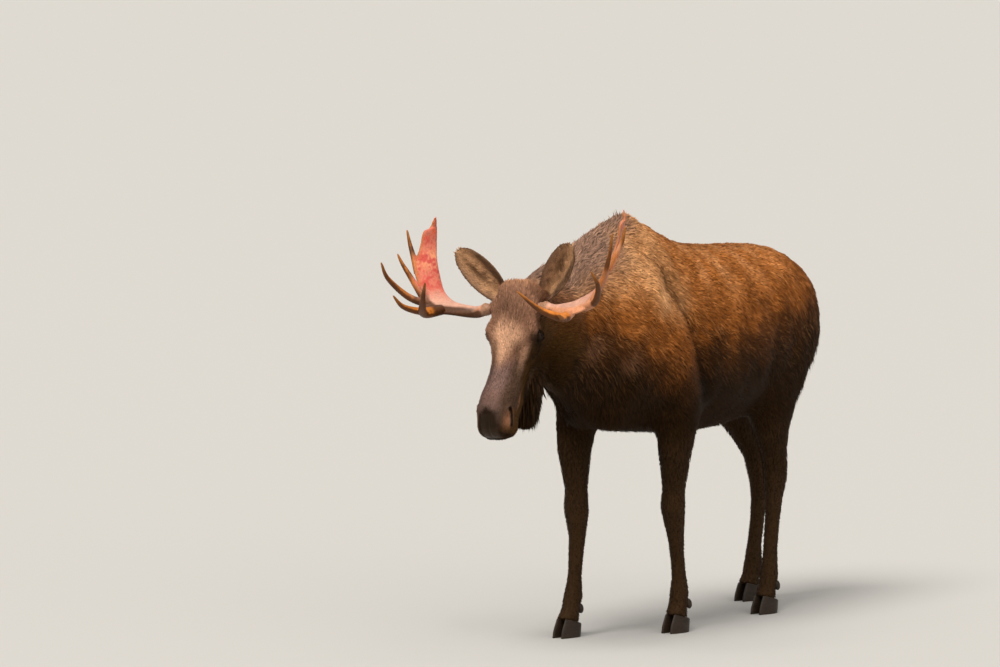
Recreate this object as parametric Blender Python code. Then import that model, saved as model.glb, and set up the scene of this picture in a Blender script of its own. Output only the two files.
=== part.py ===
"""A life-size standing bull moose, head lowered, as a still model.

Metres, +Z up. The moose faces -Y and its left side is +X. It is modelled with
its withers over the Y origin and at the end moved so that the origin lies on
the floor under the middle of its bounding box.

The flesh is one body first: lofted trunk, legs, head and muscle masses, fused
by a voxel remesh, smoothed and reduced. Thin cuts then part it into head,
neck, trunk and legs. Ears, tail, bell, eyes, antlers and hooves are solids of
their own.
"""

import math

import bmesh
import bpy
import numpy as np
from mathutils import Matrix, Vector

# Driving dimensions
CUT = 0.0004  # gap between two neighbouring solids
VOXEL = 0.0105  # remesh size of the fused flesh
FLESH_TRIANGLES = 4000
HEAD_KEPT = 0.025  # how much better the head is kept when the flesh is reduced

# The head's own frame: origin inside the poll, S runs to the nose, D to the brow side
HEAD_ORIGIN = Vector((0.0, -0.778, 1.587))
HEAD_PITCH = math.radians(69.0)
HEAD_YAW = math.radians(3.0)
HEAD_ROLL = math.radians(2.5)  # its left side up
NOSE_DRIFT = 0.075
EYE_RADIUS = 0.0205
EYE_PLACE = (0.270, 0.109, -0.008)  # along, sideways, towards the brow
BURR_PLACE = {1: (0.153, 0.129, 0.016), -1: (0.160, 0.129, 0.016)}  # 1 is its left

# Trunk and neck sections across Y: y, top, bottom, half width, height of the widest
# point, and how sharp the ridge and the keel are (1 is round, 2 is a roof)
TRUNK = (
    (-0.76, 1.540, 1.380, 0.060, 1.45, 1.0, 1.0),
    (-0.70, 1.580, 1.240, 0.100, 1.42, 1.0, 1.1),
    (-0.62, 1.608, 1.130, 0.132, 1.38, 1.1, 1.2),
    (-0.50, 1.642, 1.045, 0.162, 1.33, 1.2, 1.2),
    (-0.40, 1.682, 0.985, 0.190, 1.29, 1.3, 1.1),
    (-0.30, 1.722, 0.932, 0.216, 1.25, 1.4, 1.0),
    (-0.20, 1.757, 0.896, 0.236, 1.21, 1.5, 1.0),
    (-0.10, 1.786, 0.876, 0.250, 1.18, 1.6, 1.0),
    (0.00, 1.800, 0.866, 0.258, 1.17, 1.7, 1.0),
    (0.10, 1.768, 0.856, 0.266, 1.17, 1.6, 0.9),
    (0.20, 1.720, 0.846, 0.274, 1.16, 1.4, 0.9),
    (0.33, 1.668, 0.834, 0.286, 1.16, 1.2, 0.9),
    (0.48, 1.640, 0.828, 0.296, 1.17, 1.1, 0.9),
    (0.64, 1.626, 0.832, 0.298, 1.18, 1.1, 0.9),
    (0.80, 1.618, 0.850, 0.288, 1.21, 1.1, 0.9),
    (0.95, 1.610, 0.892, 0.272, 1.24, 1.0, 1.0),
    (1.08, 1.596, 0.950, 0.254, 1.27, 1.0, 1.0),
    (1.20, 1.560, 1.010, 0.230, 1.28, 0.95, 1.0),
    (1.30, 1.505, 1.070, 0.195, 1.29, 0.9, 1.0),
    (1.37, 1.432, 1.140, 0.142, 1.29, 0.9, 1.0),
    (1.405, 1.350, 1.220, 0.070, 1.29, 1.0, 1.0),
)

# Foreleg and hind leg sections: height, half width across, half length fore and aft,
# shift aft of the leg's own line
FORELEG = (
    (1.42, 0.050, 0.110, 0.02),
    (1.32, 0.080, 0.175, 0.00),
    (1.20, 0.100, 0.205, -0.02),
    (1.08, 0.104, 0.180, 0.00),
    (0.98, 0.094, 0.145, 0.02),
    (0.88, 0.080, 0.115, 0.01),
    (0.78, 0.068, 0.090, 0.00),
    (0.68, 0.057, 0.068, 0.00),
    (0.60, 0.051, 0.057, 0.00),
    (0.545, 0.056, 0.061, -0.005),
    (0.50, 0.053, 0.057, 0.00),
    (0.44, 0.043, 0.047, 0.004),
    (0.34, 0.035, 0.041, 0.004),
    (0.24, 0.034, 0.041, 0.004),
    (0.19, 0.040, 0.047, 0.006),
    (0.155, 0.045, 0.052, 0.008),
    (0.12, 0.042, 0.046, 0.000),
    (0.085, 0.049, 0.056, -0.006),
    (0.045, 0.052, 0.064, -0.012),
)
HINDLEG = (
    (1.46, 0.060, 0.120, 0.02),
    (1.36, 0.088, 0.200, 0.00),
    (1.24, 0.108, 0.255, 0.00),
    (1.12, 0.112, 0.250, 0.00),
    (1.00, 0.102, 0.205, 0.00),
    (0.90, 0.088, 0.152, 0.00),
    (0.80, 0.071, 0.108, 0.00),
    (0.71, 0.056, 0.082, 0.01),
    (0.64, 0.051, 0.073, 0.020),
    (0.58, 0.050, 0.068, 0.016),
    (0.52, 0.044, 0.054, 0.008),
    (0.43, 0.037, 0.044, 0.002),
    (0.32, 0.035, 0.042, 0.000),
    (0.22, 0.037, 0.043, 0.002),
    (0.175, 0.043, 0.049, 0.006),
    (0.15, 0.045, 0.051, 0.008),
    (0.115, 0.041, 0.046, 0.000),
    (0.085, 0.048, 0.056, -0.006),
    (0.045, 0.051, 0.064, -0.012),
)

# Each leg's line, from the top down: height, distance from the middle plane, y
LEG_LINES = {
    "leg_front_left": (
        (1.42, 0.125, 0.02),
        (1.20, 0.170, 0.02),
        (1.00, 0.190, 0.095),
        (0.80, 0.186, 0.118),
        (0.545, 0.163, 0.140),
        (0.155, 0.150, 0.205),
        (0.045, 0.150, 0.190),
    ),
    "leg_front_right": (
        (1.42, 0.125, 0.00),
        (1.20, 0.175, -0.05),
        (1.00, 0.202, -0.04),
        (0.80, 0.198, -0.070),
        (0.545, 0.168, -0.100),
        (0.155, 0.155, -0.160),
        (0.045, 0.155, -0.190),
    ),
    "leg_hind_left": (
        (1.46, 0.110, 1.110),
        (1.24, 0.155, 1.070),
        (1.00, 0.176, 0.940),
        (0.82, 0.170, 0.935),
        (0.62, 0.150, 0.990),
        (0.165, 0.145, 0.960),
        (0.045, 0.145, 0.935),
    ),
    "leg_hind_right": (
        (1.46, 0.110, 1.130),
        (1.24, 0.150, 1.130),
        (1.00, 0.172, 1.120),
        (0.82, 0.168, 1.200),
        (0.62, 0.150, 1.330),
        (0.165, 0.145, 1.310),
        (0.045, 0.145, 1.280),
    ),
}

# Head sections across S: s, brow side, throat side, half width, D of the widest
# point, and how sharp the brow side and the throat side are
SKULL = (
    (0.020, 0.000, -0.120, 0.050, -0.05, 1.0, 1.0),
    (0.050, 0.040, -0.170, 0.086, -0.05, 1.0, 1.0),
    (0.085, 0.066, -0.190, 0.100, -0.04, 0.9, 1.1),
    (0.130, 0.080, -0.200, 0.106, -0.03, 0.8, 1.2),
    (0.200, 0.084, -0.195, 0.108, -0.02, 0.8, 1.2),
    (0.262, 0.078, -0.180, 0.109, -0.02, 0.8, 1.2),
    (0.325, 0.062, -0.150, 0.092, -0.02, 0.8, 1.2),
    (0.390, 0.050, -0.120, 0.081, -0.02, 0.8, 1.1),
    (0.455, 0.055, -0.100, 0.080, -0.02, 0.75, 0.9),
    (0.510, 0.067, -0.092, 0.087, -0.02, 0.7, 0.8),
    (0.555, 0.077, -0.090, 0.091, -0.018, 0.7, 0.8),
    (0.600, 0.073, -0.088, 0.083, -0.015, 0.75, 0.8),
    (0.640, 0.066, -0.084, 0.080, -0.015, 0.75, 0.8),
    (0.672, 0.054, -0.076, 0.080, -0.018, 0.75, 0.75),
    (0.696, 0.032, -0.064, 0.068, -0.020, 0.8, 0.8),
    (0.708, 0.002, -0.044, 0.042, -0.022, 1.0, 1.0),
)
JAW = (
    (0.090, -0.110, -0.190, 0.050, -0.15, 1.0, 1.0),
    (0.130, -0.090, -0.215, 0.074, -0.15, 1.0, 1.1),
    (0.200, -0.080, -0.210, 0.078, -0.14, 1.0, 1.1),
    (0.290, -0.080, -0.180, 0.066, -0.13, 1.0, 1.1),
    (0.385, -0.080, -0.154, 0.054, -0.12, 1.0, 1.0),
    (0.475, -0.085, -0.142, 0.048, -0.11, 1.0, 0.9),
    (0.540, -0.085, -0.140, 0.050, -0.11, 1.0, 0.9),
    (0.590, -0.088, -0.136, 0.048, -0.11, 1.0, 0.9),
    (0.618, -0.095, -0.124, 0.028, -0.11, 1.0, 1.0),
)

# Soft masses on the head, both sides: (s, sideways, d), (radii along s, sideways, d)
HEAD_MASSES = (
    ((0.256, 0.092, 0.028), (0.056, 0.036, 0.030)),  # brow over the eye
    ((0.302, 0.096, -0.030), (0.066, 0.024, 0.028)),  # cheek bone under the eye
    ((0.170, 0.066, -0.115), (0.085, 0.040, 0.085)),  # jaw muscle
    ((0.598, 0.056, 0.022), (0.048, 0.027, 0.037)),  # nostril wing
    ((0.650, 0.044, -0.050), (0.050, 0.042, 0.036)),  # upper lip
    ((0.090, 0.040, 0.040), (0.060, 0.050, 0.036)),  # swelling between the antlers
    ((0.155, 0.092, 0.030), (0.034, 0.032, 0.034)),  # antler root
)

# Soft masses on the body: centre, radii, turn about X in degrees; x is mirrored
BODY_MASSES = (
    ((0.130, -0.08, 1.34), (0.110, 0.130, 0.240), 10),  # shoulder blade
    ((0.125, -0.21, 1.15), (0.105, 0.130, 0.170), 0),  # point of the shoulder
    ((0.060, -0.20, 1.01), (0.110, 0.170, 0.125), 0),  # breast
    ((0.120, 0.96, 1.42), (0.110, 0.170, 0.130), 0),  # hip
    ((0.095, 1.24, 1.27), (0.100, 0.150, 0.190), 0),  # buttock
    ((0.150, 0.90, 1.02), (0.100, 0.120, 0.130), 0),  # flank fold
)


# Ears: share of the length, half width, depth of the cup; axis and opening in the
# yaw frame, and the base in the head's own
EAR_LENGTH = 0.257
EAR_WALL = 0.010
EAR_SUNK = 0.035  # how far the ear starts inside the head
EAR_BASE = {1: (0.066, 0.110, -0.022), -1: (0.082, 0.114, -0.022)}
EAR_AXIS = (0.627, 0.240, 0.740)
EAR_OPENING = (-0.100, 1.000, 0.000)
EAR = (
    (0.00, 0.030, 0.040),
    (0.12, 0.042, 0.046),
    (0.28, 0.055, 0.046),
    (0.45, 0.062, 0.040),
    (0.62, 0.061, 0.030),
    (0.78, 0.053, 0.020),
    (0.92, 0.037, 0.010),
    (1.00, 0.016, 0.003),
)

# Antlers, in the yaw frame from the burr: sideways outwards, forwards, up. The sheet
# runs between an inner and an outer rail: inner point, outer point, half thickness
SHEET = (
    ((-0.030, -0.003, 0.024), (-0.030, 0.003, -0.024), 0.024),
    ((-0.004, -0.003, 0.025), (-0.004, 0.003, -0.025), 0.025),
    ((0.000, -0.004, 0.032), (0.000, 0.004, -0.032), 0.032),
    ((0.012, -0.004, 0.032), (0.012, 0.004, -0.032), 0.032),
    ((0.017, -0.003, 0.022), (0.017, 0.004, -0.027), 0.024),
    ((0.063, -0.004, 0.010), (0.054, 0.015, -0.036), 0.021),
    ((0.139, -0.005, 0.018), (0.124, 0.072, -0.032), 0.018),
    ((0.185, -0.010, 0.038), (0.195, 0.127, -0.023), 0.016),
    ((0.228, -0.022, 0.071), (0.264, 0.113, 0.010), 0.013),
    ((0.258, -0.043, 0.117), (0.299, 0.076, 0.086), 0.012),
    ((0.285, -0.065, 0.195), (0.334, 0.047, 0.177), 0.010),
    ((0.305, -0.099, 0.262), (0.338, -0.012, 0.257), 0.009),
    ((0.315, -0.121, 0.322), (0.336, -0.044, 0.325), 0.008),
    ((0.317, -0.124, 0.358), (0.330, -0.088, 0.340), 0.006),
    ((0.314, -0.118, 0.384), (0.318, -0.108, 0.382), 0.003),
)
# Tines: corners of the curve, first and last radius, and how far the end of the left
# one (1) and of the right one (-1) sits above the curve
TINES = {
    "brow_inner": (
        (
            (0.175, 0.091, -0.016),
            (0.196, 0.195, -0.026),
            (0.144, 0.290, 0.020),
            (0.085, 0.364, 0.105),
        ),
        (0.023, 0.004),
        {1: -0.013, -1: 0.014},
    ),
    "brow_outer": (
        (
            (0.185, 0.101, -0.014),
            (0.200, 0.195, -0.021),
            (0.244, 0.289, -0.003),
            (0.257, 0.352, 0.039),
        ),
        (0.020, 0.004),
        {1: -0.045, -1: 0.022},
    ),
    "palm_low": (
        (
            (0.236, 0.090, 0.004),
            (0.312, 0.140, 0.036),
            (0.364, 0.208, 0.107),
            (0.364, 0.260, 0.173),
        ),
        (0.017, 0.004),
        {1: -0.012, -1: 0.030},
    ),
    "palm_middle": (
        (
            (0.272, 0.090, 0.034),
            (0.322, 0.084, 0.118),
            (0.357, 0.092, 0.196),
            (0.378, 0.099, 0.265),
        ),
        (0.014, 0.004),
        {1: 0.038, -1: -0.024},
    ),
    "palm_high": (
        (
            (0.322, 0.040, 0.150),
            (0.350, 0.018, 0.214),
            (0.373, 0.006, 0.270),
            (0.386, 0.004, 0.327),
        ),
        (0.014, 0.004),
        {1: -0.006, -1: 0.012},
    ),
}
TINE_TAPER = 1.5  # above 1 the tine stays thick for longer
# How the two antlers differ: lift of the front, lift of the top, spread of the palm
ANTLER_BENT = {1: (0.0, 0.014, 0.022), -1: (0.020, -0.008, 0.003)}
BROW_FROM = 0.160  # the brow tines are cut off forward of this
BROW_WITHIN = 0.288
BEAM_TO = 0.168  # the palm starts sideways of this

# The bell under the throat: height, y, half width, half length
BELL = (
    (1.230, -0.690, 0.030, 0.070),
    (1.150, -0.722, 0.040, 0.092),
    (1.080, -0.742, 0.040, 0.080),
    (1.010, -0.755, 0.034, 0.058),
    (0.955, -0.762, 0.022, 0.034),
    (0.922, -0.765, 0.008, 0.010),
)
# The tail: height, y, half width, half length
TAIL = (
    (1.440, 1.350, 0.022, 0.020),
    (1.425, 1.395, 0.034, 0.030),
    (1.380, 1.425, 0.038, 0.026),
    (1.330, 1.430, 0.034, 0.020),
    (1.285, 1.425, 0.020, 0.012),
    (1.270, 1.423, 0.006, 0.005),
)

# Hooves: a claw's outline at the floor and where the coronet cuts it
CLAW_LENGTH_FRONT = 0.086
CLAW_LENGTH_BACK = 0.044
CLAW_WIDTH = 0.0235
CLAW_APART = 0.0272
CORONET_HEIGHT = 0.064
CORONET_SLOPE = 0.28  # rise of the coronet towards the toe
DEWCLAW_PLACE = (0.030, 0.050, 0.118)
DEWCLAW_RADII = (0.013, 0.016, 0.024)
DEWCLAW_LEAN = math.radians(24)

# Where the flesh is parted: a point of each cut and the way it faces
HEAD_CUT = ((0.0, -0.655, 1.42), (0.0, -0.949, -0.316))
NECK_CUT = ((0.0, -0.270, 1.40), (0.0, -0.936, 0.351))
# The block that parts each leg off: slope of its top in degrees, where that top
# meets the upright inner side (x, z), and the span along Y
LEG_CELLS = {
    "leg_front_left": (45, (0.055, 0.885), (-0.20, 0.32)),
    "leg_front_right": (45, (0.055, 0.885), (-0.30, 0.20)),
    "leg_hind_left": (50, (0.045, 0.900), (0.62, 1.24)),
    "leg_hind_right": (50, (0.045, 0.900), (0.76, 1.44)),
}


def rule(table, keys):
    """Rows of a table read at other keys, by a smooth curve through its rows."""
    rows = np.array(table, float)
    rows = rows[np.argsort(rows[:, 0])]
    along = rows[:, 0]
    slope = np.gradient(rows, along, axis=0)
    found = []
    for key in keys:
        i = int(np.clip(np.searchsorted(along, key) - 1, 0, len(along) - 2))
        step = along[i + 1] - along[i]
        t = (key - along[i]) / step
        found.append(
            (2 * t**3 - 3 * t**2 + 1) * rows[i]
            + (t**3 - 2 * t**2 + t) * step * slope[i]
            + (3 * t**2 - 2 * t**3) * rows[i + 1]
            + (t**3 - t**2) * step * slope[i + 1]
        )
    return np.array(found)


def power(value, sharpness):
    return math.copysign(abs(value) ** sharpness, value)


def section(top, bottom, width, middle, ridge, keel, count):
    """A closed outline as (sideways, up) points, wider or sharper above and below."""
    outline = []
    for k in range(count):
        turn = 2 * math.pi * k / count
        up = math.sin(turn)
        sharp = ridge if up > 0 else keel
        reach = top - middle if up > 0 else middle - bottom
        outline.append((width * power(math.cos(turn), sharp), middle + reach * up))
    return outline


def skin_rings(bm, rings):
    """Joins rings of points into a closed tube with flat ends."""
    loops = [[bm.verts.new(p) for p in ring] for ring in rings]
    count = len(loops[0])
    for near, far in zip(loops, loops[1:]):
        for k in range(count):
            n = (k + 1) % count
            bm.faces.new((near[k], near[n], far[n], far[k]))
    bm.faces.new(loops[0][::-1])
    bm.faces.new(loops[-1])


def solid(name, build, *args):
    """A mesh object whose shape the function build makes, faces pointing out."""
    mesh = bpy.data.meshes.new(name)
    bm = bmesh.new()
    build(bm, *args)
    bmesh.ops.recalc_face_normals(bm, faces=bm.faces)
    bm.to_mesh(mesh)
    bm.free()
    obj = bpy.data.objects.new(name, mesh)
    bpy.context.scene.collection.objects.link(obj)
    return obj


def yaw_axes():
    """The head's left, forward and up before it nods."""
    left = Vector((math.cos(HEAD_YAW), math.sin(HEAD_YAW), 0.0))
    forward = Vector((math.sin(HEAD_YAW), -math.cos(HEAD_YAW), 0.0))
    up = Vector((0.0, 0.0, 1.0))
    cr, sr = math.cos(HEAD_ROLL), math.sin(HEAD_ROLL)
    return left * cr + up * sr, forward, up * cr - left * sr


def head_frame():
    """Matrix from (s, sideways, d) to the world, sideways positive to the left."""
    left, forward, up = yaw_axes()
    cp, sp = math.cos(HEAD_PITCH), math.sin(HEAD_PITCH)
    along = forward * cp - up * sp
    brow = forward * sp + up * cp
    frame = Matrix((along, left, brow)).transposed().to_4x4()
    return Matrix.Translation(HEAD_ORIGIN) @ frame


HEAD_FRAME = head_frame()


def tapered(bm, path, radii, count=10, flat=1.0):
    """A round tube along a curved path that tapers to its last radius."""
    points = [Vector(p) for p in path]
    rings = []
    side = None
    for i, point in enumerate(points):
        ahead = points[min(i + 1, len(points) - 1)] - points[max(i - 1, 0)]
        ahead.normalize()
        if side is None:
            side = ahead.orthogonal().normalized()
        side = (side - ahead * side.dot(ahead)).normalized()
        other = ahead.cross(side)
        turns = [2 * math.pi * k / count for k in range(count)]
        rings.append([
            point + radii[i] * (math.cos(t) * side + flat * math.sin(t) * other)
            for t in turns
        ])
    skin_rings(bm, rings)


def curve_points(corners, steps):
    """Points along a smooth curve through the corners, and the share of it run."""
    table = [(i, *c) for i, c in enumerate(corners)]
    keys = np.linspace(0, len(corners) - 1, steps)
    return [tuple(row[1:]) for row in rule(table, keys)]


# The fused flesh


def trunk_loft(bm, count=40):
    rings = []
    for y, top, bottom, width, middle, ridge, keel in rule(
        TRUNK, np.linspace(TRUNK[0][0], TRUNK[-1][0], 60)
    ):
        outline = section(top, bottom, width, middle, ridge, keel, count)
        rings.append([(x, y, z) for x, z in outline])
    skin_rings(bm, rings)


def side_of(name):
    """1 for a name of the left side, -1 for one of the right."""
    return 1 if "left" in name else -1


def leg_loft(bm, name, count=24):
    """One leg, its outline set by its sections and its place by its line."""
    side = side_of(name)
    table = FORELEG if "front" in name else HINDLEG
    line = LEG_LINES[name]
    rings = []
    for z, width, length, aft in rule(table, np.linspace(table[0][0], table[-1][0], 60)):
        _, x, y = rule(line, [z])[0]
        turns = [2 * math.pi * k / count for k in range(count)]
        rings.append([
            (side * x + width * math.cos(t), y + aft + length * math.sin(t), z)
            for t in turns
        ])
    skin_rings(bm, rings)


def drift(s):
    """How far the face swings to its right, so that the muzzle hangs plumb."""
    return -NOSE_DRIFT * max(0.0, s - 0.27)


def head_loft(bm, table, count=32):
    rings = []
    for s, top, bottom, width, middle, ridge, keel in rule(
        table, np.linspace(table[0][0], table[-1][0], 48)
    ):
        outline = section(top, bottom, width, middle, ridge, keel, count)
        rings.append([HEAD_FRAME @ Vector((s, a + drift(s), d)) for a, d in outline])
    skin_rings(bm, rings)


def ball(bm, matrix, segments=20):
    bmesh.ops.create_uvsphere(
        bm, u_segments=segments, v_segments=segments // 2, radius=1.0, matrix=matrix
    )


def masses(bm):
    for side in (1, -1):
        for (s, a, d), radii in HEAD_MASSES:
            middle = Matrix.Translation((s, side * a + drift(s), d))
            place = middle @ Matrix.Diagonal((*radii, 1))
            ball(bm, HEAD_FRAME @ place)
        for (x, y, z), radii, turn in BODY_MASSES:
            place = Matrix.Translation((side * x, y, z))
            turned = Matrix.Rotation(math.radians(turn), 4, "X")
            ball(bm, place @ turned @ Matrix.Diagonal((*radii, 1)))


def evaluated_copy(obj, name):
    """A new object whose mesh is obj's with its modifiers applied."""
    graph = bpy.context.evaluated_depsgraph_get()
    mesh = bpy.data.meshes.new_from_object(obj.evaluated_get(graph))
    mesh.name = name
    copy = bpy.data.objects.new(name, mesh)
    bpy.context.scene.collection.objects.link(copy)
    return copy


def weight_group(obj, name, weight_at):
    group = obj.vertex_groups.new(name=name)
    for vertex in obj.data.vertices:
        group.add([vertex.index], weight_at(vertex.co), "REPLACE")


def head_share(point):
    """1 on the head and 0 on the body, with a soft change at the throat."""
    local = HEAD_FRAME.inverted() @ point
    return min(1.0, max(0.0, (local.x - 0.02) / 0.08)) if point.y < -0.55 else 0.0


def softness(point):
    """How far the smoothing goes: full on the trunk, little on head and lower legs."""
    leg = min(1.0, max(0.0, (0.95 - point.z) / 0.2)) if point.y > -0.5 else 0.0
    return 1.0 - 0.8 * max(head_share(point), leg)


def all_lofts(bm):
    trunk_loft(bm)
    for name in LEG_LINES:
        leg_loft(bm, name)
    head_loft(bm, SKULL)
    head_loft(bm, JAW)
    masses(bm)


def fused_flesh():
    """Trunk, legs, head and masses as one smooth closed body."""
    rough = solid("flesh_masses", all_lofts)
    remesh = rough.modifiers.new("fuse", "REMESH")
    remesh.mode = "VOXEL"
    remesh.voxel_size = VOXEL
    fused = evaluated_copy(rough, "flesh_fused")
    bpy.data.objects.remove(rough)

    weight_group(fused, "soft", softness)
    smooth = fused.modifiers.new("soften", "SMOOTH")
    smooth.factor = 0.5
    smooth.iterations = 100
    smooth.vertex_group = "soft"
    weight_group(fused, "plain", lambda p: 1.0 - 0.5 * head_share(p))
    reduce = fused.modifiers.new("reduce", "DECIMATE")
    reduce.ratio = FLESH_TRIANGLES / (2 * len(fused.data.polygons))
    reduce.vertex_group = "plain"
    reduce.vertex_group_factor = HEAD_KEPT
    flesh = evaluated_copy(fused, "flesh")
    bpy.data.objects.remove(fused)
    return flesh


# The pieces beside the flesh

def yaw_frame(side):
    """Rotation from (outwards, forwards, up) to the world, for one side of the head."""
    left, forward, up = yaw_axes()
    return Matrix((side * left, forward, up)).transposed().to_4x4()


def ease(low, high, value):
    """0 below low and 1 above high, with soft ends."""
    t = min(1.0, max(0.0, (value - low) / (high - low)))
    return t * t * (3 - 2 * t)


def bent(point, side):
    """A point of the antler's plan, moved to where that side's antler has it."""
    front, top, spread = ANTLER_BENT[side]
    out, ahead, up = point
    return Vector((
        out + spread * ease(0.17, 0.26, out),
        ahead,
        up + front * ease(0.02, 0.10, ahead) * ease(0.30, 0.05, up) + top * ease(0.10, 0.38, up),
    ))


def antler_frame(side):
    return Matrix.Translation(head_point(BURR_PLACE[side], side)) @ yaw_frame(side)


def head_point(place, side):
    s, sideways, d = place
    return HEAD_FRAME @ Vector((s, side * sideways, d))


def ear_loft(bm, side, count=6):
    """A leaf-shaped cup: each section is a shallow crescent, closed at the base."""
    turn = yaw_frame(side)
    axis = (turn @ Vector(EAR_AXIS)).normalized()
    opening = turn @ Vector(EAR_OPENING)
    opening = (opening - axis * opening.dot(axis)).normalized()
    across = axis.cross(opening)
    base = head_point(EAR_BASE[side], side) - EAR_SUNK * axis
    rings = []
    for share, width, cup in rule(EAR, np.linspace(0, 1, 8)):
        middle = base + axis * (share * (EAR_LENGTH + EAR_SUNK))
        places = np.linspace(-1, 1, count)
        back = [(width * x, -cup * (1 - x * x) - EAR_WALL / 2) for x in places]
        front = [
            (0.86 * width * x, -0.8 * cup * (1 - x * x) + EAR_WALL / 2)
            for x in places[::-1]
        ]
        rings.append([middle + across * a + opening * b for a, b in back + front])
    skin_rings(bm, rings)


def sheet_loft(bm, side, count=10):
    """Beam and palm of one antler, between its two rails."""
    place = antler_frame(side)
    rails = [(*bent(inner, side), *bent(outer, side), thick) for inner, outer, thick in SHEET]
    middles = [Vector(r[:3]).lerp(Vector(r[3:6]), 0.5) for r in rails]
    rings = []
    for i, row in enumerate(rails):
        inner, outer = Vector(row[:3]), Vector(row[3:6])
        ahead = middles[min(i + 1, len(rails) - 1)] - middles[max(i - 1, 0)]
        across = (inner - outer) / 2
        through = ahead.cross(across).normalized() * row[6]
        rings.append([
            place @ (middles[i] + math.cos(t) * across + math.sin(t) * through)
            for t in (2 * math.pi * k / count for k in range(count))
        ])
    skin_rings(bm, rings)


def tine_loft(bm, side, corners, ends, lift):
    place = antler_frame(side)
    steps = 6
    points = [place @ bent(p, side) for p in curve_points(corners, steps)]
    for k, point in enumerate(points):
        point.z += lift[side] * (k / (steps - 1)) ** 1.5
    first, last = ends
    radii = [first + (last - first) * (k / (steps - 1)) ** TINE_TAPER for k in range(steps)]
    tapered(bm, points, radii, count=6)


def hanging_loft(bm, table, count=8, steps=7):
    """A flattened tongue that hangs down, from a table of heights."""
    rings = []
    for z, y, width, length in rule(table, np.linspace(table[0][0], table[-1][0], steps)):
        turns = [2 * math.pi * k / count for k in range(count)]
        rings.append([(width * math.cos(t), y + length * math.sin(t), z) for t in turns])
    skin_rings(bm, rings)


def foot_of(leg):
    _, x, y = LEG_LINES[leg][-1]
    return Vector((side_of(leg) * x, y, 0.0))


def coronet_height(y, foot):
    return CORONET_HEIGHT - CORONET_SLOPE * (y - foot.y)


def claw_loft(bm, leg, side, count=10):
    """One claw: a pointed D on the floor, narrowing up to the sloping coronet."""
    foot = foot_of(leg)
    rings = []
    for lift, shrink, back in ((0.0, 1.0, 0.0), (0.3, 1.0, 0.004), (1.0, 0.80, 0.016)):
        ring = []
        for k in range(count):
            turn = 2 * math.pi * k / count
            ahead = -math.sin(turn)
            reach = CLAW_LENGTH_FRONT if ahead > 0 else CLAW_LENGTH_BACK
            narrow = 1 - 0.45 * max(0.0, ahead) ** 1.5
            x = CLAW_WIDTH * math.cos(turn) * narrow * (0.4 + 0.6 * shrink)
            # The toe leans in a little towards the other claw.
            x -= side * 0.006 * max(0.0, ahead)
            y = foot.y - reach * ahead * shrink + back
            z = lift * (coronet_height(y, foot) - CUT)
            ring.append((foot.x + side * CLAW_APART + x, y, z))
        rings.append(ring)
    skin_rings(bm, rings)


def dewclaw(bm, leg, side):
    foot = foot_of(leg)
    x, y, z = DEWCLAW_PLACE
    place = Matrix.Translation((foot.x + side * x, foot.y + y, z))
    lean = Matrix.Rotation(DEWCLAW_LEAN, 4, "X")
    ball(bm, place @ lean @ Matrix.Diagonal((*DEWCLAW_RADII, 1)), 6)


# Parting


def hidden(obj):
    obj.hide_render = True
    obj.display_type = "WIRE"
    return obj


def box(name, matrix, size, grow=0.0):
    """A hidden box with its middle at the matrix, for a Boolean."""
    def build(bm):
        scale = Matrix.Diagonal((*(Vector(size) + Vector((2 * grow,) * 3)), 1))
        bmesh.ops.create_cube(bm, size=1.0, matrix=matrix @ scale)

    return hidden(solid(name, build))


def boolean(obj, other, operation):
    modifier = obj.modifiers.new(operation.lower(), "BOOLEAN")
    modifier.operation = operation
    modifier.object = other


def grown(obj, name, distance):
    """A hidden copy of a closed mesh, pushed out along its normals."""
    mesh = obj.data.copy()
    bm = bmesh.new()
    bm.from_mesh(mesh)
    bm.normal_update()
    for vertex in bm.verts:
        vertex.co += vertex.normal * distance * vertex.calc_shell_factor()
    bm.to_mesh(mesh)
    bm.free()
    copy = bpy.data.objects.new(name, mesh)
    bpy.context.scene.collection.objects.link(copy)
    return hidden(copy)


def plane_matrix(point, normal):
    """A frame at the point whose Z is the normal and whose X stays level."""
    up = Vector(normal).normalized()
    level = Vector((1.0, 0.0, 0.0))
    level = (level - up * up.dot(level)).normalized()
    turn = Matrix((level, up.cross(level), up)).transposed().to_4x4()
    return Matrix.Translation(point) @ turn


def slab_beyond(name, point, normal, grow=0.0, reach=1.5):
    """A hidden box that fills what lies around a point, on one side of a plane."""
    frame = plane_matrix(point, normal) @ Matrix.Translation((0, 0, reach / 2))
    return box(name, frame, (reach, reach, reach), grow)


def leg_cell(name, leg, grow=0.0):
    """A block under a sloping top: beside the middle plane, around one leg."""
    slope, (x, z), (front, back) = LEG_CELLS[leg]
    side = side_of(leg)
    rise = math.tan(math.radians(slope))
    outer = 0.6
    x -= grow
    z += grow / math.cos(math.radians(slope)) - grow * rise
    corners = [(x, -0.5), (outer, -0.5), (outer, z + rise * (outer - x)), (x, z)]

    def build(bm):
        outline = [bm.verts.new((side * a, front - grow, b)) for a, b in corners]
        made = bmesh.ops.extrude_face_region(bm, geom=[bm.faces.new(outline)])
        moved = [v for v in made["geom"] if isinstance(v, bmesh.types.BMVert)]
        bmesh.ops.translate(bm, verts=moved, vec=(0, back - front + 2 * grow, 0))

    return hidden(solid(name, build))


def material(name, colour, roughness):
    made = bpy.data.materials.new(name)
    made.use_nodes = True
    shader = made.node_tree.nodes["Principled BSDF"]
    shader.inputs["Base Color"].default_value = (*colour, 1.0)
    shader.inputs["Roughness"].default_value = roughness
    return made


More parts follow.
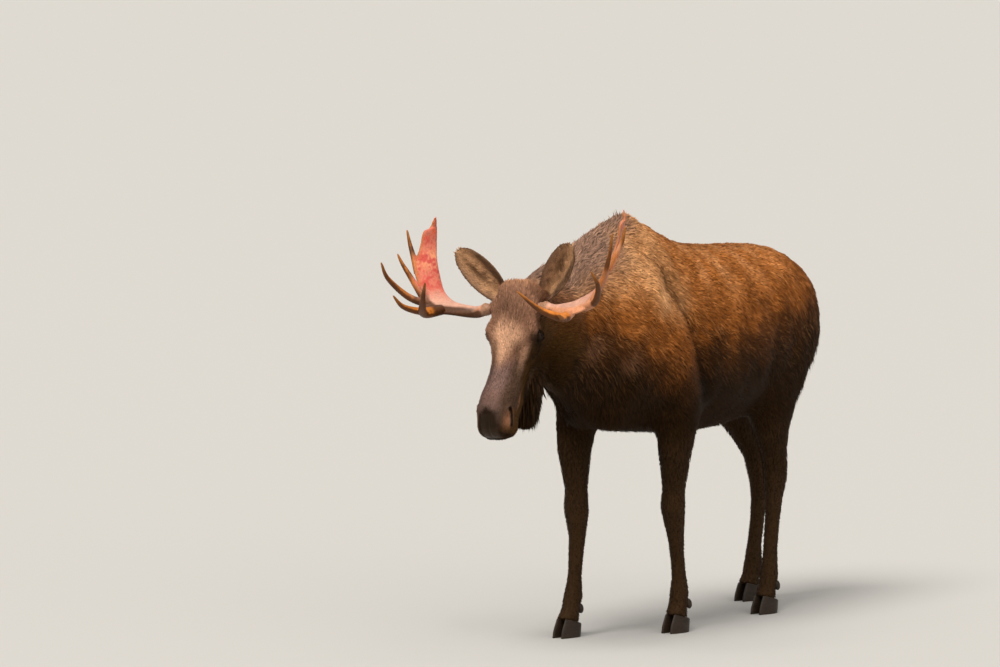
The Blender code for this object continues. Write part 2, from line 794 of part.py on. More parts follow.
def bake_down(obj, finish):
    """Applies an object's modifiers and gives it its finish."""
    name = obj.name
    done = evaluated_copy(obj, name + "_done")
    bpy.data.objects.remove(obj)
    done.name = name
    done.data.name = name
    done.data.materials.clear()
    done.data.materials.append(finish)
    return done


def part_flesh(flesh, coat):
    """Head, neck, trunk and legs, parted by thin cuts."""
    head_side = slab_beyond("cut_head", *HEAD_CUT)
    head_side_wide = slab_beyond("cut_head_wide", *HEAD_CUT, grow=CUT)
    neck_side = slab_beyond("cut_neck", *NECK_CUT)
    neck_side_wide = slab_beyond("cut_neck_wide", *NECK_CUT, grow=CUT)
    cells = {leg: leg_cell("cut_" + leg, leg) for leg in LEG_CELLS}
    wide = {leg: leg_cell("cut_wide_" + leg, leg, CUT) for leg in LEG_CELLS}
    steps = {
        "head": (("INTERSECT", head_side),),
        "neck": (("DIFFERENCE", head_side_wide), ("INTERSECT", neck_side)),
        "trunk": (
            ("DIFFERENCE", neck_side_wide),
            *(("DIFFERENCE", w) for w in wide.values()),
        ),
    }
    for leg in LEG_CELLS:
        foot = foot_of(leg)
        sole = slab_beyond(
            "cut_sole_" + leg, (foot.x, foot.y, CORONET_HEIGHT), (0, -CORONET_SLOPE, -1)
        )
        steps[leg] = (("INTERSECT", cells[leg]), ("DIFFERENCE", sole))
    parts = {}
    for name, actions in steps.items():
        part = bpy.data.objects.new(name, flesh.data.copy())
        bpy.context.scene.collection.objects.link(part)
        for operation, other in actions:
            boolean(part, other, operation)
        parts[name] = bake_down(part, coat)
    return parts


def beside(name, build, args, wide_flesh, finish):
    """A solid that starts at the flesh's surface, a thin gap off it."""
    obj = solid(name, build, *args)
    boolean(obj, wide_flesh, "DIFFERENCE")
    return bake_down(obj, finish)


def antler(side_name, side, wide_flesh, finish):
    """Beam, palm and brow of one antler, parted at its forks."""
    whole = solid("antler_whole", sheet_loft, side)
    for tine, shape in TINES.items():
        piece = solid("tine_" + tine, tine_loft, side, *shape)
        piece.hide_render = True
        boolean(whole, piece, "UNION")
    boolean(whole, wide_flesh, "DIFFERENCE")
    whole = bake_down(whole, finish)
    place = antler_frame(side)
    reach = 1.0
    brow_box = place @ Matrix.Translation(
        (BROW_WITHIN - reach / 2, BROW_FROM + reach / 2, 0)
    )
    palm_box = place @ Matrix.Translation((BEAM_TO + reach / 2, 0, 0))
    size = (reach, reach, reach)
    palm_size = (reach, 2 * reach, reach)
    brow = box("cut_brow_" + side_name, brow_box, size)
    brow_wide = box("cut_brow_wide_" + side_name, brow_box, size, CUT)
    palm = box("cut_palm_" + side_name, palm_box, palm_size)
    palm_wide = box("cut_palm_wide_" + side_name, palm_box, palm_size, CUT)
    steps = {
        "brow": (("INTERSECT", brow),),
        "palm": (("DIFFERENCE", brow_wide), ("INTERSECT", palm)),
        "beam": (("DIFFERENCE", brow_wide), ("DIFFERENCE", palm_wide)),
    }
    for end, actions in steps.items():
        part = bpy.data.objects.new(f"antler_{side_name}_{end}", whole.data.copy())
        bpy.context.scene.collection.objects.link(part)
        for operation, other in actions:
            boolean(part, other, operation)
        bake_down(part, finish)
    bpy.data.objects.remove(whole)


def to_floor_centre():
    """Moves all pieces so that the origin is under the middle of the whole box."""
    shown = [o for o in bpy.context.scene.objects if not o.hide_render]
    points = np.array([v.co for o in shown for v in o.data.vertices])
    low, high = points.min(axis=0), points.max(axis=0)
    shift = Vector((-(low[0] + high[0]) / 2, -(low[1] + high[1]) / 2, -low[2]))
    for obj in shown:
        obj.data.transform(Matrix.Translation(shift))
    print("moved by", tuple(round(c, 5) for c in shift))


def main():
    for obj in list(bpy.data.objects):
        bpy.data.objects.remove(obj)
    coat = material("coat", (0.075, 0.045, 0.028), 0.8)
    velvetless = material("antler", (0.48, 0.20, 0.10), 0.5)
    horn = material("hoof", (0.035, 0.028, 0.024), 0.45)
    wet = material("eye", (0.015, 0.009, 0.006), 0.05)

    flesh = fused_flesh()
    print("flesh triangles", sum(len(p.vertices) - 2 for p in flesh.data.polygons))
    wide_flesh = grown(flesh, "flesh_wide", 1.5 * CUT)
    parts = part_flesh(flesh, coat)
    bpy.data.objects.remove(flesh)

    sockets = []
    for side_name, side in (("left", 1), ("right", -1)):
        place = Matrix.Translation(head_point(EYE_PLACE, side))
        turned = place @ Matrix.Rotation(math.radians(90), 4, "Y")
        hollow = turned @ Matrix.Scale(EYE_RADIUS + 2 * CUT, 4)
        socket = solid("socket_" + side_name, ball, hollow, 12)
        socket.hide_render = True
        sockets.append(socket)
        eye = solid("eye_" + side_name, ball, turned @ Matrix.Scale(EYE_RADIUS, 4), 12)
        eye.data.materials.append(wet)
        beside("ear_" + side_name, ear_loft, (side,), wide_flesh, coat)
        antler(side_name, side, wide_flesh, velvetless)
    for socket in sockets:
        boolean(parts["head"], socket, "DIFFERENCE")
    parts["head"] = bake_down(parts["head"], coat)

    beside("bell", hanging_loft, (BELL,), wide_flesh, coat)
    beside("tail", hanging_loft, (TAIL,), wide_flesh, coat)
    for leg in LEG_CELLS:
        for claw, side in (("outer", side_of(leg)), ("inner", -side_of(leg))):
            foot = leg.replace("leg_", "")
            hoof = solid(f"hoof_{foot}_{claw}", claw_loft, leg, side)
            hoof.data.materials.append(horn)
            beside(f"dewclaw_{foot}_{claw}", dewclaw, (leg, side), wide_flesh, horn)
    to_floor_centre()


main()
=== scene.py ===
import math

import bmesh
import bpy
import numpy as np
from mathutils import Matrix, Vector


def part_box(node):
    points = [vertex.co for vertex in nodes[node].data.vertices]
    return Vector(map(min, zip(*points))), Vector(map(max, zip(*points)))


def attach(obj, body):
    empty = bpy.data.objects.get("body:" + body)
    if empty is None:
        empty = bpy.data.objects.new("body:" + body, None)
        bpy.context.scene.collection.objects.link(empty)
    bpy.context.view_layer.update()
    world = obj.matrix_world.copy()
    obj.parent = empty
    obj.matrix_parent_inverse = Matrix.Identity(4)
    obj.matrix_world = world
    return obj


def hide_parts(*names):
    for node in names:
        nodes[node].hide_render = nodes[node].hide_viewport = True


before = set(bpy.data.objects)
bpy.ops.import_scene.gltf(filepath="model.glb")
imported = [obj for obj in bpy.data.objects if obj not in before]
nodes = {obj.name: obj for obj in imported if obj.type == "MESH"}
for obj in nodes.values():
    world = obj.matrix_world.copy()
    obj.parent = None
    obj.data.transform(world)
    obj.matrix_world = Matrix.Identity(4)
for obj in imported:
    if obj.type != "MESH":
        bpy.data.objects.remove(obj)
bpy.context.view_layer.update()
rng = np.random.default_rng(11)

# small tools: numbers


def ramp(low, high, value):  # 0 to 1 with soft ends
    t = np.clip((value - low) / (high - low), 0.0, 1.0)
    return t * t * (3 - 2 * t)


def hill(value, middle, width):
    return np.exp(-(((value - middle) / width) ** 2))


def between(first, second, share):
    return first * (1 - share) + second * share


def blend(first, second, share):  # the same for rows of colours or directions
    return between(first, second, np.asarray(share)[..., None])


def layered(colour, layers):
    for shade, share in layers:
        colour = blend(colour, shade, share)
    return colour


def within(where, strength, parts):
    # how strong a mark is at each point. A part names a measure, then either the middle
    # and width of a hill or the start, end and unevenness of a ramp
    for key, *values in parts:
        if len(values) == 2:
            strength = strength * hill(where[key], *values)
        else:
            low, high, uneven = values
            strength = strength * ramp(low, high, where[key] + uneven * where["mottle"])
    return strength


def paint(red, green, blue):  # screen colour to the linear one a shader reads
    c = np.array([red, green, blue]) / 255.0
    return np.where(c < 0.04045, c / 12.92, ((c + 0.055) / 1.055) ** 2.4)


def wobble(points, size, seed):  # smooth noise from crossing waves, about -1 to 1
    dice = np.random.default_rng(seed)
    ways = dice.normal(size=(3, 12))
    ways /= np.linalg.norm(ways, axis=0)
    ways *= dice.uniform(0.6, 1.5, 12) * math.tau / size
    return np.sin(points @ ways + dice.uniform(0, 6.3, 12)).sum(1) / 3.0


def unit(vectors):
    return vectors / np.maximum(np.linalg.norm(vectors, axis=-1, keepdims=True), 1e-9)


def ease(table, keys):  # rows of a table read at other keys, by a smooth curve
    rows = np.array(table, float)
    along = rows[:, 0]
    slope = np.gradient(rows, along, axis=0)
    keys = np.atleast_1d(keys)
    i = np.clip(np.searchsorted(along, keys) - 1, 0, len(along) - 2)
    step = (along[i + 1] - along[i])[:, None]
    t = (keys - along[i])[:, None] / step
    return (
        (2 * t**3 - 3 * t**2 + 1) * rows[i]
        + (t**3 - 2 * t**2 + t) * step * slope[i]
        + (3 * t**2 - 2 * t**3) * rows[i + 1]
        + (t**3 - t**2) * step * slope[i + 1]
    )


def nearPath(points, corners):  # distance to a bent line, and the share of it passed
    corners = np.array(corners, float)
    best = np.full(len(points), 1e9)
    share = np.zeros(len(points))
    pieces = len(corners) - 1
    for k in range(pieces):
        a, b = corners[k], corners[k + 1]
        t = np.clip((points - a) @ (b - a) / ((b - a) @ (b - a)), 0, 1)
        gap = np.linalg.norm(points - a - t[:, None] * (b - a), axis=1)
        closer = gap < best
        best = np.where(closer, gap, best)
        share = np.where(closer, (k + t) / pieces, share)
    return best, share


# small tools: meshes


def readAll(items, what, width, kind=np.float32):
    values = np.empty(len(items) * width, kind)
    items.foreach_get(what, values)
    return values.reshape(-1, width)


def readPoints(mesh, what="co"):
    return readAll(mesh.vertices, what, 3).astype(float)


def writePoints(mesh, points):
    mesh.vertices.foreach_set("co", points.astype(np.float32).ravel())
    mesh.update()


def readEdges(mesh):
    return readAll(mesh.edges, "vertices", 2, np.int32)


def triangles(mesh):
    mesh.calc_loop_triangles()
    return readAll(mesh.loop_triangles, "vertices", 3, np.int32)


def relax(points, ends, rounds, weight=1.0):  # smooths and swells back by turns
    a, b = ends[:, 0], ends[:, 1]
    size = len(points)
    count = np.maximum(np.bincount(ends.ravel(), minlength=size), 1)[:, None]
    weight = np.broadcast_to(np.asarray(weight, float).reshape(-1, 1), (size, 1))
    for pull in (0.5, -0.52) * rounds:
        total = [
            np.bincount(a, points[b, k], size) + np.bincount(b, points[a, k], size)
            for k in range(3)
        ]
        points = points + pull * weight * (np.stack(total, axis=1) / count - points)
    return points


def setPoints(mesh, name, kind, slot, values):
    data = mesh.attributes.new(name, kind, "POINT").data
    data.foreach_set(slot, np.asarray(values, np.float32).ravel())


def setTint(mesh, colours):
    rgba = np.ones((len(colours), 4))
    rgba[:, :3] = np.clip(colours, 0.0, 1.0)
    setPoints(mesh, "tint", "FLOAT_COLOR", "color", rgba)


def linked(name, data):
    obj = bpy.data.objects.new(name, data)
    bpy.context.scene.collection.objects.link(obj)
    return obj


def toObject(name, bm):
    mesh = bpy.data.meshes.new(name)
    bm.to_mesh(mesh)
    bm.free()
    return linked(name, mesh)


def remeshed(obj, voxel):  # one closed surface round all that obj holds
    change = obj.modifiers.new("fuse", "REMESH")
    change.mode = "VOXEL"
    change.voxel_size = voxel
    graph = bpy.context.evaluated_depsgraph_get()
    mesh = bpy.data.meshes.new_from_object(obj.evaluated_get(graph))
    obj.modifiers.clear()
    old = obj.data
    obj.data = mesh
    bpy.data.meshes.remove(old)
    mesh.name = obj.name
    return obj


def drawOut(bm, rings):  # a closed tube: a circle, extruded from ring to ring
    start = bmesh.ops.create_circle(bm, cap_ends=False, segments=len(rings[0]))["verts"]
    ring = list(start)
    for vert, spot in zip(ring, rings[0]):
        vert.co = spot
    for spots in rings[1:]:
        edges = [bm.edges.get(pair) for pair in zip(ring, ring[1:] + ring[:1])]
        made = set(bmesh.ops.extrude_edge_only(bm, edges=edges)["geom"])
        ring = [
            next(e.other_vert(v) for e in v.link_edges if e.other_vert(v) in made)
            for v in ring
        ]
        for vert, spot in zip(ring, spots):
            vert.co = spot
    bmesh.ops.contextual_create(bm, geom=start)
    bmesh.ops.contextual_create(bm, geom=ring)


def smoothShade(mesh):
    mesh.polygons.foreach_set("use_smooth", np.ones(len(mesh.polygons), bool))
    mesh.update()


# camera, light and floor

view = {
    "lookAt": (-0.4589, -0.3740, 1.2766),
    "azimuth": 33.0,
    "elevation": 5.0,
    "distance": 28.0,
    "lens": 238.6,
}
studio = {
    # direction it comes from, elevation, strength, softness in degrees
    "lamps": {
        "key": (2.0, 56.0, 3.2, 30.0),
        "fill": (64.0, 28.0, 0.9, 60.0),
        "top": (33.0, 84.0, 1.0, 70.0),
    },
    "warmth": (1.0, 0.95, 0.87),
    "sky": ((0.90, 0.88, 0.86), 0.42),
    "floor": (0.44, 0.435, 0.425),
    "floorReach": 200.0,
}


def lookBack(azimuth, elevation):
    a, e = math.radians(azimuth), math.radians(elevation)
    return Vector((math.sin(a) * math.cos(e), -math.cos(a) * math.cos(e), math.sin(e)))


def place(name, data, location, direction):
    obj = linked(name, data)
    obj.location = location
    obj.rotation_mode = "QUATERNION"
    obj.rotation_quaternion = direction.to_track_quat("-Z", "Y")
    return obj


def makeStudio():
    back = lookBack(view["azimuth"], view["elevation"])
    lens = bpy.data.cameras.new("camera")
    lens.lens = view["lens"]
    lens.sensor_width = 36.0
    lens.clip_end = 500.0
    eye = Vector(view["lookAt"]) + back * view["distance"]
    bpy.context.scene.camera = place("camera", lens, eye, -back)

    for name, (azimuth, elevation, strength, soft) in studio["lamps"].items():
        lamp = bpy.data.lights.new(name, "SUN")
        lamp.energy = strength
        lamp.color = studio["warmth"]
        lamp.angle = math.radians(soft)
        toward = lookBack(azimuth, elevation)
        place(name, lamp, toward * 10, -toward)

    world = bpy.data.worlds.new("sky")
    bpy.context.scene.world = world
    world.use_nodes = True
    glow = world.node_tree.nodes["Background"]
    colour, strength = studio["sky"]
    glow.inputs["Color"].default_value = (*colour, 1.0)
    glow.inputs["Strength"].default_value = strength

    bm = bmesh.new()
    bmesh.ops.create_grid(bm, x_segments=2, y_segments=2, size=studio["floorReach"])
    floor = toObject("floor", bm)
    stone = bpy.data.materials.new("paleFloor")
    stone.use_nodes = True
    shader = stone.node_tree.nodes["Principled BSDF"]
    shader.inputs["Base Color"].default_value = (*studio["floor"], 1.0)
    shader.inputs["Roughness"].default_value = 0.9
    floor.data.materials.append(stone)
    bpy.context.scene.view_settings.view_transform = "Standard"


makeStudio()
print("studio made")

# the head's frame: s from the poll to the nose, a to its left, d to the brow side

headShape = {
    "origin": (0.0, -0.778, 1.587),
    "pitch": 69.0,
    "yaw": 3.0,
    "roll": 2.5,
    "noseDrift": 0.075,
    "eye": (0.270, 0.109, -0.008),
    "eyeRadius": 0.0205,
    "burr": {1: (0.153, 0.129, 0.016), -1: (0.160, 0.129, 0.016)},  # 1 is its left
}


def turnedAxes():
    yaw, roll = math.radians(headShape["yaw"]), math.radians(headShape["roll"])
    left = Vector((math.cos(yaw), math.sin(yaw), 0.0))
    ahead = Vector((math.sin(yaw), -math.cos(yaw), 0.0))
    up = Vector((0.0, 0.0, 1.0))
    return (
        left * math.cos(roll) + up * math.sin(roll),
        ahead,
        up * math.cos(roll) - left * math.sin(roll),
    )


leftAxis, aheadAxis, upAxis = turnedAxes()
pitch = math.radians(headShape["pitch"])
noseAxis = aheadAxis * math.cos(pitch) - upAxis * math.sin(pitch)
browAxis = aheadAxis * math.sin(pitch) + upAxis * math.cos(pitch)
headTurn = np.array((noseAxis, leftAxis, browAxis)).T
noseWay, leftWay, browWay = headTurn.T

eyeLow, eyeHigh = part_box("eye_left")
planned = np.array(headShape["origin"])
frameShift = np.array((eyeLow + eyeHigh) / 2) - planned - headTurn @ np.array(headShape["eye"])
headOrigin = planned + frameShift


def toHead(points):  # (s, a, d), with a measured from the face's own middle line
    local = (points - headOrigin) @ headTurn
    local[:, 1] += headShape["noseDrift"] * np.maximum(local[:, 0] - 0.27, 0.0)
    return local


def faceParts(points):  # the same as named measures, with a the same on both sides
    h = toHead(points)
    s, left, d = h.T
    return {"s": s, "a": np.abs(left), "d": d, "left": left, "mottle": 0.0}, h


def headPoint(spot, side):
    s, a, d = spot
    return headOrigin + headTurn @ np.array((s, side * a, d))


def outFrame(side):  # turns (outwards, forwards, up) to the world
    return Matrix((side * leftAxis, aheadAxis, upAxis)).transposed()


def headShare(points):
    s = ((points - headOrigin) @ headTurn)[:, 0]
    return ramp(0.0, 0.09, s) * ramp(-0.52, -0.60, points[:, 1] - frameShift[1])


# how the coat lies and how long and deep it is

coatSizes = {
    "trunk": (0.052, 0.0066),  # hair length, depth over the skin
    "neck": (0.062, 0.0080),
    "mane": (0.090, 0.015),
    "belly": (0.032, 0.009),
    "rump": (0.048, 0.0066),
    "thigh": (0.021, 0.006),
    "cannon": (0.010, 0.0032),
    "poll": (0.026, 0.009),
    "cheek": (0.016, 0.005),
    "bridge": (0.0095, 0.0036),
    "muzzle": (0.0060, 0.0023),
    "bell": (0.090, 0.012),
    "tail": (0.070, 0.014),
}
crestLine = ((-0.75, 1.53), (-0.4, 1.67), (0.0, 1.79), (0.2, 1.71), (0.4, 1.64))  # y, height


def zones(points):  # places along the body, and each part's share of each point
    p = points - frameShift
    x, y, z = np.abs(p[:, 0]), p[:, 1], p[:, 2]
    head = headShare(points)
    body = 1 - head
    bell = ramp(0.075, 0.05, x) * ramp(-0.63, -0.66, y) * ramp(-0.87, -0.84, y)
    bell = bell * ramp(1.22, 1.15, z)
    crestTop = np.interp(y, *np.array(crestLine).T)
    crest = ramp(0.10, 0.02, x) * ramp(crestTop - 0.16, crestTop - 0.06, z)
    return {
        **faceParts(points)[0],
        "x": x,
        "y": y,
        "z": z,
        "head": head * (1 - bell),
        "bell": bell,
        "tail": ramp(1.36, 1.385, y) * ramp(0.075, 0.05, x) * ramp(1.22, 1.26, z),
        "neck": ramp(-0.10, -0.38, y) * body * (1 - bell),
        "mane": crest * ramp(0.04, -0.10, y) * body,
        "crown": ramp(-0.20, -0.06, z - crestTop) * ramp(-0.08, -0.28, y) * body,
        "belly": ramp(0.98, 0.90, z) * ramp(0.80, 0.84, z) * body,
        "rump": ramp(0.85, 1.15, y),
        "leg": ramp(1.02, 0.70, z) * body,
        "cannon": ramp(0.74, 0.50, z) * body,
    }


def coatSize(points, which):
    z = zones(points)
    size = {name: both[which] for name, both in coatSizes.items()}

    def over(found, steps):
        for name, share in steps.items():
            found = found + share * (size[name] - found)
        return found

    face = {
        "cheek": ramp(0.06, 0.24, z["s"] - 0.10 * ramp(0.0, -0.05, z["d"])),
        "bridge": ramp(0.20, 0.36, z["s"]) * ramp(-0.07, 0.0, z["d"]),
        "muzzle": ramp(0.46, 0.60, z["s"]),
    }
    body = {
        "neck": z["neck"],
        "mane": z["mane"],
        "rump": z["rump"],
        "belly": ramp(1.02, 0.92, z["z"]),
        "thigh": ramp(0.92, 0.76, z["z"]),
        "cannon": z["cannon"],
    }
    found = over(np.full(len(points), size["trunk"]), body)
    found += z["head"] * (over(size["poll"], face) - found)
    return over(found, {"bell": z["bell"], "tail": z["tail"]})


def coatLie(points, normals):
    z = zones(points)
    down = (0, 0, -1)
    underneath = z["belly"] * ramp(0.0, -0.8, normals[:, 2])
    turn = ramp(0.45, 0.10, z["s"]) * ramp(0.03, -0.07, z["d"])
    lie = np.array((0, 1.0, -0.52))
    for way, share in (
        ((0, 0.85, -0.50), z["neck"]),
        ((0, 0.80, 0.55), np.maximum(z["mane"], z["crown"])),
        ((0, 0.55, -0.90), ramp(1.25, 1.05, z["z"]) * ramp(0.1, -0.05, z["y"])),
        ((0, 0.45, -0.95), ramp(0.75, 1.15, z["y"])),
        ((0, 0.10, -1.0), ramp(1.00, 0.80, z["z"]) * (1 - underneath)),
        (blend(-noseWay, -browWay, turn), z["head"]),
        (down, z["bell"]),
        (down, z["tail"]),
    ):
        lie = blend(lie, np.array(way), share)
    swirl = wobble(points, 0.22, 5)[:, None] * np.cross(normals, lie) * 0.16
    lie = unit(lie) + swirl
    lie -= normals * (lie * normals).sum(1, keepdims=True)
    return unit(lie)


# the coat's and the skin's colours

hairColours = {
    "sheen": (124, 86, 62), "black": (36, 21, 7), "darkBrown": (78, 44, 17),
    "brown": (134, 77, 31), "redBrown": (160, 95, 42), "tan": (210, 155, 106),
    "greyBrown": (122, 97, 86), "poll": (162, 118, 92), "forehead": (126, 91, 72),
    "bridge": (192, 149, 120), "noseSide": (104, 81, 75), "noseTop": (104, 79, 70),
    "cheek": (70, 46, 19), "muzzleDark": (58, 42, 30), "jaw": (94, 60, 30), "nose": (26, 16, 8),
    "noseEdge": (148, 102, 76), "lip": (40, 26, 14), "leg": (50, 34, 19),
    "earBack": (104, 78, 60), "earRim": (150, 115, 89), "earInside": (190, 146, 108),
    "earDeep": (98, 68, 48),
}
hairColours = {name: paint(*rgb) for name, rgb in hairColours.items()}
darkEdge = (  # y, and the height up to which the coat is dark
    (-0.75, 1.42), (-0.45, 1.335), (-0.22, 1.25), (-0.08, 1.17), (0.10, 1.14), (0.20, 1.22),
    (0.28, 1.27), (0.41, 1.225), (0.71, 1.265), (0.90, 1.30), (1.11, 1.345), (1.35, 1.39),
)
creaseLine = (  # y and height of the fold behind the shoulder
    (0.03, 1.56), (0.04, 1.50), (0.085, 1.43), (0.12, 1.36), (0.155, 1.28), (0.19, 1.15),
    (0.22, 1.04),
)
tearLine = ((0.285, 0.114), (0.33, 0.103), (0.39, 0.092))  # s and a
blazeHalf = ((0.22, 0.036), (0.28, 0.067), (0.33, 0.048), (0.42, 0.020))  # s, half width
browSide = ("d", -0.01, 0.03, 0)

# colour, or "shade" where it only darkens, then strength and where, as within() reads it
bodyMarks = {
    "sheenFront": ("sheen", 0.75, ("y", -0.50, 0.040), ("z", 1.278, 0.040)),
    "sheenBehind": ("sheen", 0.6, ("y", -0.30, 0.040), ("z", 1.21, 0.040)),
    "legs": ("leg", 1, ("z", 0.95, 0.78, 0)),
}
faceMarks = {
    "forehead": ("forehead", 1, ("s", 0.02, 0.12, 0.02)),
    "browShade": ("shade", 0.25, ("s", 0.205, 0.035), ("a", 0.09, 0.05, 0), browSide),
    "hollow": ("shade", 0.32, ("s", 0.165, 0.036), ("left", -0.015, 0.045), browSide),
    "besideAntler": ("shade", -0.22, ("s", 0.185, 0.030), ("a", 0.105, 0.030)),
    "noseSide": ("noseSide", 1, ("s", 0.35, 0.45, 0)),
    "blaze": (
        "bridge", 1, ("pastBlaze", 0.030, -0.026, 0.008), ("s", 0.195, 0.300, 0.016),
        ("s", 0.455, 0.35, 0.010), browSide,
    ),
    "stripe": (
        "shade", 0.45, ("a", 0.052, 0.015), ("s", 0.30, 0.34, 0), ("s", 0.50, 0.42, 0), browSide,
    ),
    "noseTop": ("noseTop", 0.7, ("s", 0.555, 0.035), ("a", 0.06, 0.01, 0), browSide),
    # the muzzle's flanks are darker on both sides; the much stronger darkening on its left is painted shade
    # of the side turned from the light
    "leftFlank": (
        "muzzleDark", 0.87, ("a", 0.018, 0.066, 0.006), ("s", 0.37, 0.43, 0), ("side", -1, 1, 0),
    ),
    "rightFlank": (
        "muzzleDark", 0.38, ("a", 0.018, 0.066, 0.006), ("s", 0.37, 0.43, 0), ("side", 1, -1, 0),
    ),
    "noseEnd": ("shade", 0.14, ("s", 0.54, 0.61, 0.012)),
    # the lower half of the head is darker, from the jaw to the cheeks: partly its own dark hair, partly
    # painted shade
    "underside": ("under", 1, ("d", 0.012, -0.025, 0.012), ("s", 0.06, 0.16, 0)),
    "throat": ("darkBrown", 0.6, ("d", -0.02, -0.12, 0), ("s", 0.24, 0.10, 0)),
    "jawDark": ("black", 0.65, ("d", -0.06, -0.12, 0), ("s", 0.2, 0.35, 0)),
    "besideBlaze": ("bridge", 0.85, ("a", 0.078, 0.012), ("d", 0.018, 0.016), ("s", 0.38, 0.06)),
    "muzzleSide": ("cheek", 1, ("s", 0.575, 0.60, 0), ("d", 0.040, 0.020, 0)),
    "nosePad": ("nose", 1, ("fromPad", 1.62, 0.72, 0.15), ("d", -0.02, 0.02, 0)),
    "lip": ("lip", 1, ("s", 0.668, 0.692, 0)),
    "nostrilEdge": (
        "noseEdge", 1, ("s", 0.638, 0.0205 / 0.55), ("a", 0.074, 0.0205 / 1.1),
        ("d", 0.022, 0.0205),
    ),
    "mouthCorner": (
        "noseEdge", 0.7, ("d", -0.012, 0.006), ("s", 0.55, 0.030), ("a", 0.07, 0.08, 0),
    ),
    "orbit": ("nose", 1, ("fromEye", 0.031, 0.019, 0)),
    "tearStain": ("nose", 0.70, ("fromTear", 0.021, 0.007, 0)),
}


def marked(found, marks, where, colours=hairColours):
    for shade, strength, *parts in marks.values():
        share = within(where, strength, parts)
        if shade == "shade":
            found = found * (1 - share)[:, None]
        else:
            found = blend(found, colours[shade], share)
    return found


def bodyColour(z):
    c, mottle = hairColours, z["mottle"]
    rise = z["z"] - np.interp(z["y"], *np.array(darkEdge).T) + 0.035 * mottle
    front = ramp(0.22, -0.05, z["y"])
    throat = ramp(-0.28, -0.50, z["y"])
    red = ramp(0.10 - 0.04 * front, 0.27 - 0.05 * front, rise + 0.05 * mottle)
    pale = ramp(0.13 - 0.08 * throat, 0.34 - 0.16 * throat, rise)
    pale = pale * (0.13 + 0.62 * front + 0.24 * mottle)
    spine = ramp(0.12, 0.03, z["x"]) * ramp(0.10, 0.35, z["y"]) * ramp(1.2, 1.4, z["z"])
    found = layered(c["black"], (
        (c["darkBrown"], ramp(-0.16, 0.01, rise)),
        (c["brown"], ramp(-0.02, 0.09, rise)),
        (c["redBrown"], red),
        (c["tan"], np.clip(pale, 0, 1)),
        (0.0, 0.34 * spine),  # only darker
        (c["greyBrown"], 0.9 * np.maximum(z["mane"], z["crown"])),
    ))
    # painted shade: darker along the fold behind the shoulder, and in a wider spot at its top
    crease, _ = nearPath(np.stack([z["y"], z["z"]], 1), creaseLine)
    fold = np.maximum(0.60 * hill(crease, 0.0, 0.034), 0.26 * hill(crease, 0.0, 0.080))
    knot = np.hypot(z["y"] - 0.055, z["z"] - 1.475)
    fold = np.maximum(fold, 0.60 * hill(knot, 0.0, 0.058))
    found = found * (1 - fold * ramp(0.02, 0.08, z["x"]))[:, None]
    return marked(found, bodyMarks, z)


def faceColour(z):
    c = hairColours
    s, a, d, left = (z[key] for key in ("s", "a", "d", "left"))
    # the blaze is narrower on its left: painted shade of the side turned from the light
    half = np.interp(s, *np.array(blazeHalf).T) - 0.026 * ramp(0.29, 0.36, s) * (left > 0)
    eye = np.stack([s - 0.27, a - 0.118, d + 0.008], 1)
    where = {
        **z,
        "side": np.sign(left),
        "pastBlaze": a - half,
        "fromPad": np.hypot((s - 0.660) / 0.050, (left + 0.006) / 0.052),
        "fromEye": np.linalg.norm(eye, axis=1),
        "fromTear": nearPath(np.stack([s, a], 1), tearLine)[0],
    }
    under = blend(c["jaw"], c["cheek"], ramp(0.10, 0.26, s + 0.02 * z["mottle"]))
    return marked(c["poll"], faceMarks, where, {**c, "under": under})


def coatColour(points):
    mottle = wobble(points, 0.16, 21) * 0.5 + wobble(points, 0.05, 22) * 0.35
    z = {**zones(points), "mottle": mottle}
    found = layered(bodyColour(z), (
        (faceColour(z), z["head"]),
        (hairColours["black"] * 0.7, z["bell"]),
        (hairColours["darkBrown"], z["tail"]),
    ))
    return found * (1 + 0.10 * mottle)[:, None]


# relief of the skin: how far it moves out from the smooth body

bodyRelief = {  # y and height along a line, width, how far out
    "creaseBehindShoulder": (creaseLine, 0.038, -0.020),
    "shoulderEdge": (((-0.13, 1.54), (-0.03, 1.38), (0.04, 1.22), (0.07, 1.05)), 0.080, 0.008),
    "frontOfShoulder": (((-0.36, 1.38), (-0.36, 1.20), (-0.30, 1.05)), 0.035, -0.008),
    "flankHollow": (((0.74, 1.42), (0.80, 1.28), (0.78, 1.12)), 0.075, -0.010),
    "hipBone": (((0.93, 1.50), (1.00, 1.47)), 0.050, 0.008),
    "thighEdge": (((0.86, 1.22), (0.84, 1.08), (0.82, 0.98)), 0.04, 0.006),
    "jugular": (((-0.62, 1.33), (-0.50, 1.25), (-0.40, 1.15)), 0.03, -0.006),
}
ribs = {"apart": 0.075, "lean": 3.0, "height": 0.0012}
faceRelief = {  # s and a along a line, width, how far out
    "nasalEdge": (((0.33, 0.045), (0.50, 0.048)), 0.016, -0.0035),
    "cheekCrest": (((0.33, 0.072), (0.46, 0.066)), 0.012, 0.0025),
    "forehead": (((0.13, 0.0), (0.20, 0.0)), 0.032, -0.005),
}
faceBumps = {  # how far out, and where
    "nosePad": (0.0035, ("s", 0.60, 0.02), ("a", 0.0, 0.03), ("d", 0.0, 0.03, 0)),
    "lipCleft": (-0.0025, ("a", 0.0, 0.006), ("s", 0.62, 0.65, 0), ("d", -0.03, 0.0, 0)),
    "tearGroove": (-0.004, ("s", 0.315, 0.024), ("a", 0.092, 0.012), ("d", -0.006, 0.012 / 1.4)),
}
nostril = {
    "line": (  # s, a, d
        (0.592, 0.074, 0.030), (0.606, 0.080, 0.022), (0.622, 0.083, 0.011),
        (0.642, 0.082, 0.000), (0.652, 0.079, -0.004),
    ),
    "width": 0.0086,
    "narrowing": 0.0014,
    "depth": 0.018,
    "rim": 0.0035,
}
